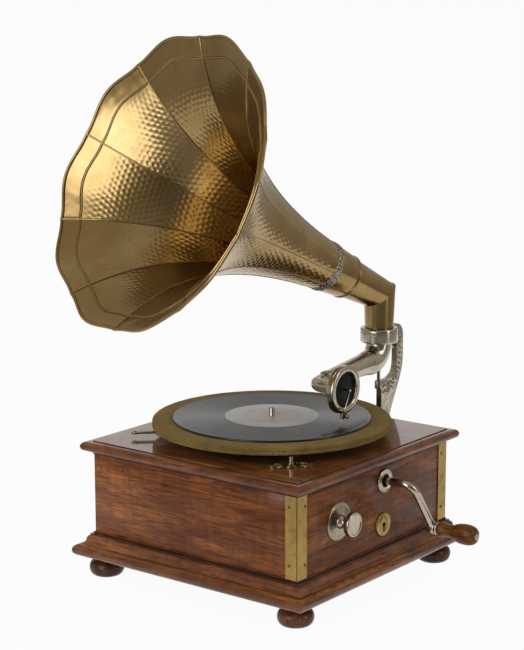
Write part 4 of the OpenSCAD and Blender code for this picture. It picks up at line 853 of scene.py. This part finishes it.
STRIP_FACE = PANEL + STRIP_T
STRIP_SCREWS = ((146, -STRIP_FACE, turn(90, "X"), 25), (146, STRIP_FACE, turn(-90, "X"), 65),
                (STRIP_FACE, -144, TO_CRANK, 50), (STRIP_FACE, 147, TO_CRANK, 80))
strip_screws = [screw(2.1, 0.9, shift(x, y, z), outwards, turn(slot, "Z"))
                for z in (73.6, 143.8) for x, y, outwards, slot in STRIP_SCREWS]
piece("strip_screws", joined(*strip_screws), "corner_strips", old_brass, replaces=False)
nails = [dome(1.3, 0.35, shift(x, -PANEL, z), turn(90, "X")) for x, z in ((-145.5, 139.9), (-111, 142.2))]
piece("panel_nails", joined(*nails), "front_panel", dark_fill_and_bore_shade, replaces=False, slot="motor_steel")


# ---------------------------------------------------------------- turntable

FELT_R, FELT_LOW, FELT_TOP = 150, 187, 196
RECORD_R, RECORD_TOP, LABEL_R = 125, 198.6, 59
RINGS = 58
SPINDLE_R = 3.6
FELT_EDGE = [*((radius, FELT_TOP) for radius in (SPINDLE_R + 0.2, 40, 100, 120, 135, 146)),
             *bowed((147.5, FELT_TOP), (149.8, FELT_TOP - 0.1), (FELT_R, FELT_TOP - 2), steps=5), (FELT_R, 192.6),
             *bowed((FELT_R, 192.4), (149.0, 192.0), (149.0, 191.6), (FELT_R - 0.1, 191.2), steps=6),
             (FELT_R, 189), *bowed((FELT_R, 188.6), (149.8, FELT_LOW), (148.6, FELT_LOW), steps=4)]


def felt_cover():
    """The felt with a line pressed round its edge, uneven where the record leaves it bare."""
    bm = turned([*FELT_EDGE, (SPINDLE_R + 0.2, FELT_LOW)], 360, closed=True)
    for vert in bm.verts:
        reach = math.hypot(vert.co.x, vert.co.y)
        if reach > RECORD_R + 1:
            vert.co -= vert.normal * abs(0.35 * noise.noise(vert.co / 1.7) + 0.2 * noise.noise(vert.co / 9))
    return bm


cover = piece("felt_cover", felt_cover(), "felt", sharp=70)


def record_disc():
    """The record: raised rim, fine rings, run-out and a seat for its label."""
    rings = []
    for index in range(RINGS):
        radius = RECORD_R - 4 - index
        rings += [(radius, RECORD_TOP - 0.02), (radius - 0.5, RECORD_TOP - 0.09)]
    line = [(SPINDLE_R + 0.1, FELT_TOP), (RECORD_R - 1, FELT_TOP),
            *bowed((RECORD_R - 0.6, FELT_TOP), (RECORD_R, FELT_TOP + 0.6), (RECORD_R, RECORD_TOP - 0.8),
                   (RECORD_R - 1.2, RECORD_TOP), steps=6),
            *rings, (LABEL_R + 4, RECORD_TOP - 0.1), (LABEL_R + 2, RECORD_TOP - 0.02),
            (SPINDLE_R + 0.1, RECORD_TOP - 0.02)]
    return turned(line, 180, closed=True)


piece("record_disc", record_disc(), "record", sharp=20)
low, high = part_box("record_label")
LABEL_LINE = [(SPINDLE_R + 0.2, low.z / MM), (LABEL_R, low.z / MM), (LABEL_R, high.z / MM - 0.06),
              (LABEL_R - 0.4, high.z / MM), (SPINDLE_R + 0.2, high.z / MM)]
piece("label_disc", turned(LABEL_LINE, 128, closed=True), "record_label")


# ---------------------------------------------------------------- fittings on the board and the case

piece("turntable_plate", softened("platter", 0.5), "platter")
piece("centre_pin", softened("spindle", 0.3), "spindle", nickel)
for name, node, width in (
        ("brake_post", "brake_pivot", 0.4), ("brake_arm", "brake_lever", 0.35), ("crank_handle", "crank_arm", 0.6),
        ("grip_collar", "grip_ferrule", 0.5), ("tone_tube", "tone_arm", 0.4), ("tone_crook", "crook", 0.4),
        ("reproducer_disc", "diaphragm", 0.1), ("steel_needle", "needle", 0.08),
        ("needle_thumbscrew", "needle_screw", 0.25)):
    piece(name, softened(node, width), node)
piece("bracket_casting", softened("horn_bracket", 0.8), "horn_bracket", cast_nickel)

DIAL = shift(PANEL, -76, 109) @ TO_CRANK
DIAL_LINE = [(4.05, -2), (5.55, -2), (5.55, 0), (23.5, 0), *bowed((23.5, 0.6), (22.9, 1.7), (21.2, 1.75), steps=5),
             (20.9, 1.55), (20.4, 1.55), (20.1, 1.8), *bowed((20.1, 1.8), (14.1, 2), (10.6, 2), steps=5),
             (10.2, 2.2), (4.05, 2.2)]
piece("speed_dial", ringed(DIAL_LINE, 96, DIAL), "dial_plate", dial_nickel)


def dial_ticks():
    """Plain marks round the dial, each fourth one longer."""
    ticks = []
    for step in range(17):
        length = 2.2 if step % 4 else 3.4
        ticks.append(bar((length, 0.6, 0.3), DIAL, turn(-60 + 15 * step, "Z"), shift(-17.6, 0, 1.85)))
    return joined(*ticks)


piece("dial_ticks", dial_ticks(), "dial_plate", dark_fill_and_bore_shade, replaces=False, slot="nickel")

CAM_PIN, CAM_OFF = 1.5, 3
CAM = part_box("speed_knob")[0].x / MM + 1 - PANEL
KNOB_LINE = [(0, CAM + 6), (4, CAM + 6), (4, 2.3), (8.5, 2.3),
             *bowed((8.6, 3.4), (8.2, 6), (5, 7.6), (5.2, 12), steps=9),
             *bowed((5.2, 12), (5.6, 15.6), (9, 15.8), (12.6, 16), steps=7), *arc((13, 18), 2, -80, 0, 5),
             *arc((13, 22), 2, 0, 100, 7), (12.2, 23.2), (11.6, 22.6), (8, 22.3), (0, 22.2)]
CAM_LINE = [(0, CAM - 1), (CAM_PIN, CAM - 1), (CAM_PIN, CAM + 6.5), (0, CAM + 6.5)]
knob, cam = moved(turned(KNOB_LINE, 72), DIAL), moved(turned(CAM_LINE, 24), DIAL, shift(CAM_OFF, 0, 0))
piece("speed_button", joined(knob, cam), "speed_knob")

BUSH_R = 7.95
FLANGE_LINE = [(4.8, -17), (BUSH_R, -17), (BUSH_R, 0), (15, 0), (15, 1.2), *arc((13.2, 1.2), 1.8, 0, 90, 6),
               (12.2, 2.7), (11.6, 2.1), (9.4, 2.2), *arc((8.6, 2.2), 0.7, 60, 180, 5), (7.9, 0.4), (4.8, 0.4)]


def crank_flange():
    """Turned flange; the sleeve's face round the crank's rod gets the dark fill as painted shade of the bore."""
    bm = turned(FLANGE_LINE, 72, closed=True)
    for face in bm.faces:
        middle = face.calc_center_median()
        # painted shade: the sleeve's face inside BUSH_R takes the dark fill, standing for the shade in the bore
        face.material_index = int(math.hypot(middle.x, middle.y) < BUSH_R and middle.z > 0)
    return moved(bm, shift(PANEL, 18.5, 137.6), TO_CRANK)


piece("crank_flange", crank_flange(), "crank_bush", extra=(dark_fill_and_bore_shade,))

STOP = turn(-44, "Z") @ shift(math.hypot(108.6, 104.9), 0, BOARD_TOP)


def stop_ornament():
    """Fluted leaves to both sides of a ringed boss."""
    ridges = [ringed([(4.4, 1.6), (7.2, 1.6), *arc((6.6, 2.2), 0.7, 0, 180, 5), (4.4, 2.6)], 32, STOP)]
    for side in (90, -90):
        for spread in (-24, -12, 0, 12, 24):
            reach = 19 - abs(spread) * 0.12
            leaf = Matrix.Diagonal((reach / 2, 1.1, 1, 1))
            ridges.append(dome(1.0, 0.9, STOP, turn(side + spread, "Z"), shift(8 + reach / 2, 0, 1.6), leaf))
        ridges.append(dome(2.4, 1.6, STOP, turn(side, "Z"), shift(24, 0, 1.6)))
    return joined(*ridges)


piece("board_plate", softened("stop_plate", 0.3), "stop_plate", old_brass)
piece("board_plate_leaves", stop_ornament(), "stop_plate", old_brass, replaces=False)
POST_LINE = [(2.55, 4.1), (3.4, 4.1), (3.4, 5.2), (2.75, 5.6), (2.75, 12.2), (2.4, 12.45), (0, 12.45), (0, 12.2),
             (2.55, 12.2)]
piece("board_post", ringed(POST_LINE, 32, STOP), "stop_plate", nickel, replaces=False)


# ---------------------------------------------------------------- tone arm and sound box

PIVOT = shift(ARM_X, ARM_Y, 0)
COLLAR_LINE = [(20.2, 268.95), *bowed((23.0, 268.95), (24.7, 269), (24.7, 271.6), steps=6), (24.7, 281.6),
               (24.15, 282.0), (24.15, 283.0), (24.7, 283.4),
               *bowed((24.7, 285.2), (24.7, 288.2), (22.0, 288.25), steps=6), (20.2, 288.25)]
piece("collar_ring", ringed(COLLAR_LINE, 96, PIVOT), "horn_bracket", replaces=False)
ARM_SLOPE = shift(ARM_X, 154, 244.57) @ turn(93, "X")
SHOULDER_LINE = [(13, 0), (16.55, 0), *bowed((16.52, 0.6), (16.4, 5), (15.2, 8), (14.2, 17), steps=8), (13, 17)]
piece("arm_shoulder", ringed(SHOULDER_LINE, 96, ARM_SLOPE), "tone_arm", replaces=False)

WEB_HALF = 4
CAST_LINE = [*bowed((6, 34), (26, 34), (43, 44), (43.5, 66), steps=9),
             *bowed((43.5, 73), (43.5, 92), (44, 104), (34, 107), steps=7),
             *bowed((7, 26), (18, 26), (27, 30), (34, 40), steps=5)]


def cast_relief():
    """Raised beads on both faces of the bracket's web, every second one with a small bead to each side."""
    beads = []
    for index, (y, z) in enumerate(CAST_LINE):
        group = [(2.6, 1.5, 0, 0)]
        if index % 2:
            group = [(2.6 - 0.7, 1.5, 0, 0), (1.4, 1.1, -4, 2), (1.4, 1.1, 4, -2)]
        for side in (-1, 1):
            for radius, height, back, up in group:
                spot = shift(ARM_X + side * WEB_HALF, ARM_Y + y + back, BOARD_TOP + z + up)
                beads.append(dome(radius, height, spot, turn(side * 90, "Y")))
    return joined(*beads)


piece("bracket_relief", cast_relief(), "horn_bracket", cast_nickel, replaces=False)

BOX = shift(92, 32.17, 238.19) @ turn(-26, "X") @ TO_CRANK
BACK_LINE = [(5.3, -11.95), (26.6, -11.95), *arc((27, -8.95), 3, -90, 0, 7), (30, -5.2), (29.4, -4.8), (29.4, -4),
             (27.5, -4), (27.5, -7.5), (5.3, -7.5)]
RING_LINE = [(21.5, -3.95), *bowed((21.5, -2.8), (21.9, -0.2), (24.3, 0), (25.6, 0), steps=8),
             *bowed((25.6, 0), (28.4, 0), (30, -0.8), (30, -3), steps=8), (30, -3.95)]
CHUCK_LINE = [(0, 28), (3.2, 28), (3.6, 28.8), (3.4, 33), (2.6, 36), (0, 36)]
BAR_LIFT = 4.2
piece("reproducer_back", ringed(BACK_LINE, 96, BOX), "sound_box")
piece("reproducer_ring", ringed(RING_LINE, 96, BOX), "box_ring")


def needle_bar():
    """Thin bar from the middle of the diaphragm to the chuck, on a brass bridge with two screws."""
    dark = [moved(turned([(0, -4), (1.1, -4), (1.1, 4.6), (0, 4.6)], 16), BOX),
            moved(turned(CHUCK_LINE, 32), BOX, shift(0, 0, BAR_LIFT), TO_CRANK)]
    bright = [bar((27, 1.3, 1.6), BOX, shift(14.5, 0, BAR_LIFT)),
              screw(2.0, 1.2, BOX, shift(0, 0, 4.5), turn(20, "Z"))]
    bridge = [bar((3.2, 10, 1.6), BOX, shift(26, 0, 0.8)), bar((2.2, 2.4, 4.4), BOX, shift(26.4, -3, 2.2)),
              bar((2.2, 2.4, 4.4), BOX, shift(26.4, 3, 2.2)), bar((1.6, 7.6, 1.2), BOX, shift(26.4, 0, 5)),
              screw(1.5, 0.8, BOX, shift(26.4, -3.2, 5.4)), screw(1.5, 0.8, BOX, shift(26.4, 3.2, 5.4))]
    for index, group in ((1, bright), (2, bridge)):
        for bm in group:
            for face in bm.faces:
                face.material_index = index
    return joined(*dark, *bright, *bridge)


piece("needle_bar", needle_bar(), "stylus_bar", dark_steel, (nickel, trim_brass))


# ---------------------------------------------------------------- leather pads and grip

def leather_pad(name, node):
    """A firm pad with well rounded edges."""
    pad = piece(name, softened(node, 0.35, 3), node)


leather_pad("brake_leather", "brake_pad")
leather_pad("governor_leather", "lever_pad")

GRIP_Y, GRIP_Z = 64.35, 74.50
GRIP_FROM, GRIP_LEN, GRIP_R = 208.75, 53, 12.75
GRIP_HOLE = 3.05


def crank_grip():
    """Pear-shaped wooden grip with a flared collar at the crank's end."""
    def at(*points):
        return [(share * GRIP_R, from_end + part * GRIP_LEN) for share, from_end, part in points]
    line = [(GRIP_HOLE, 0), *bowed(*at((0.55, 0, 0), (0.7, 0, 0), (0.78, 1.5, 0), (0.78, 4, 0)), steps=7),
            *bowed(*at((0.77, 5, 0), (0.68, 0, 0.14), (0.6, 0, 0.24), (0.64, 0, 0.34)), steps=10),
            *bowed(*at((0.66, 0, 0.38), (0.8, 0, 0.46), (1, 0, 0.54), (1, 0, 0.72)), steps=14),
            *bowed(*at((1, 0, 0.74), (1, 0, 0.88), (0.8, 0, 1), (0.45, 0, 1)), steps=14), (GRIP_HOLE, GRIP_LEN)]
    return moved(turned(line, 64, closed=True), shift(GRIP_FROM, GRIP_Y, GRIP_Z), TO_CRANK)


piece("wooden_grip", crank_grip(), "crank_grip")
RIVET_LINE = [(GRIP_HOLE, 0), (4.6, 0), *bowed((4.6, 0.4), (4.4, 1.5), (2.2, 1.9), steps=6), (0, 2.0), (0, 1.6),
              (GRIP_HOLE, 1.6)]
rivet = moved(turned(RIVET_LINE, 32), shift(GRIP_FROM + GRIP_LEN + 0.5, GRIP_Y, GRIP_Z), TO_CRANK)
piece("grip_end", rivet, "grip_rivet", dial_nickel)
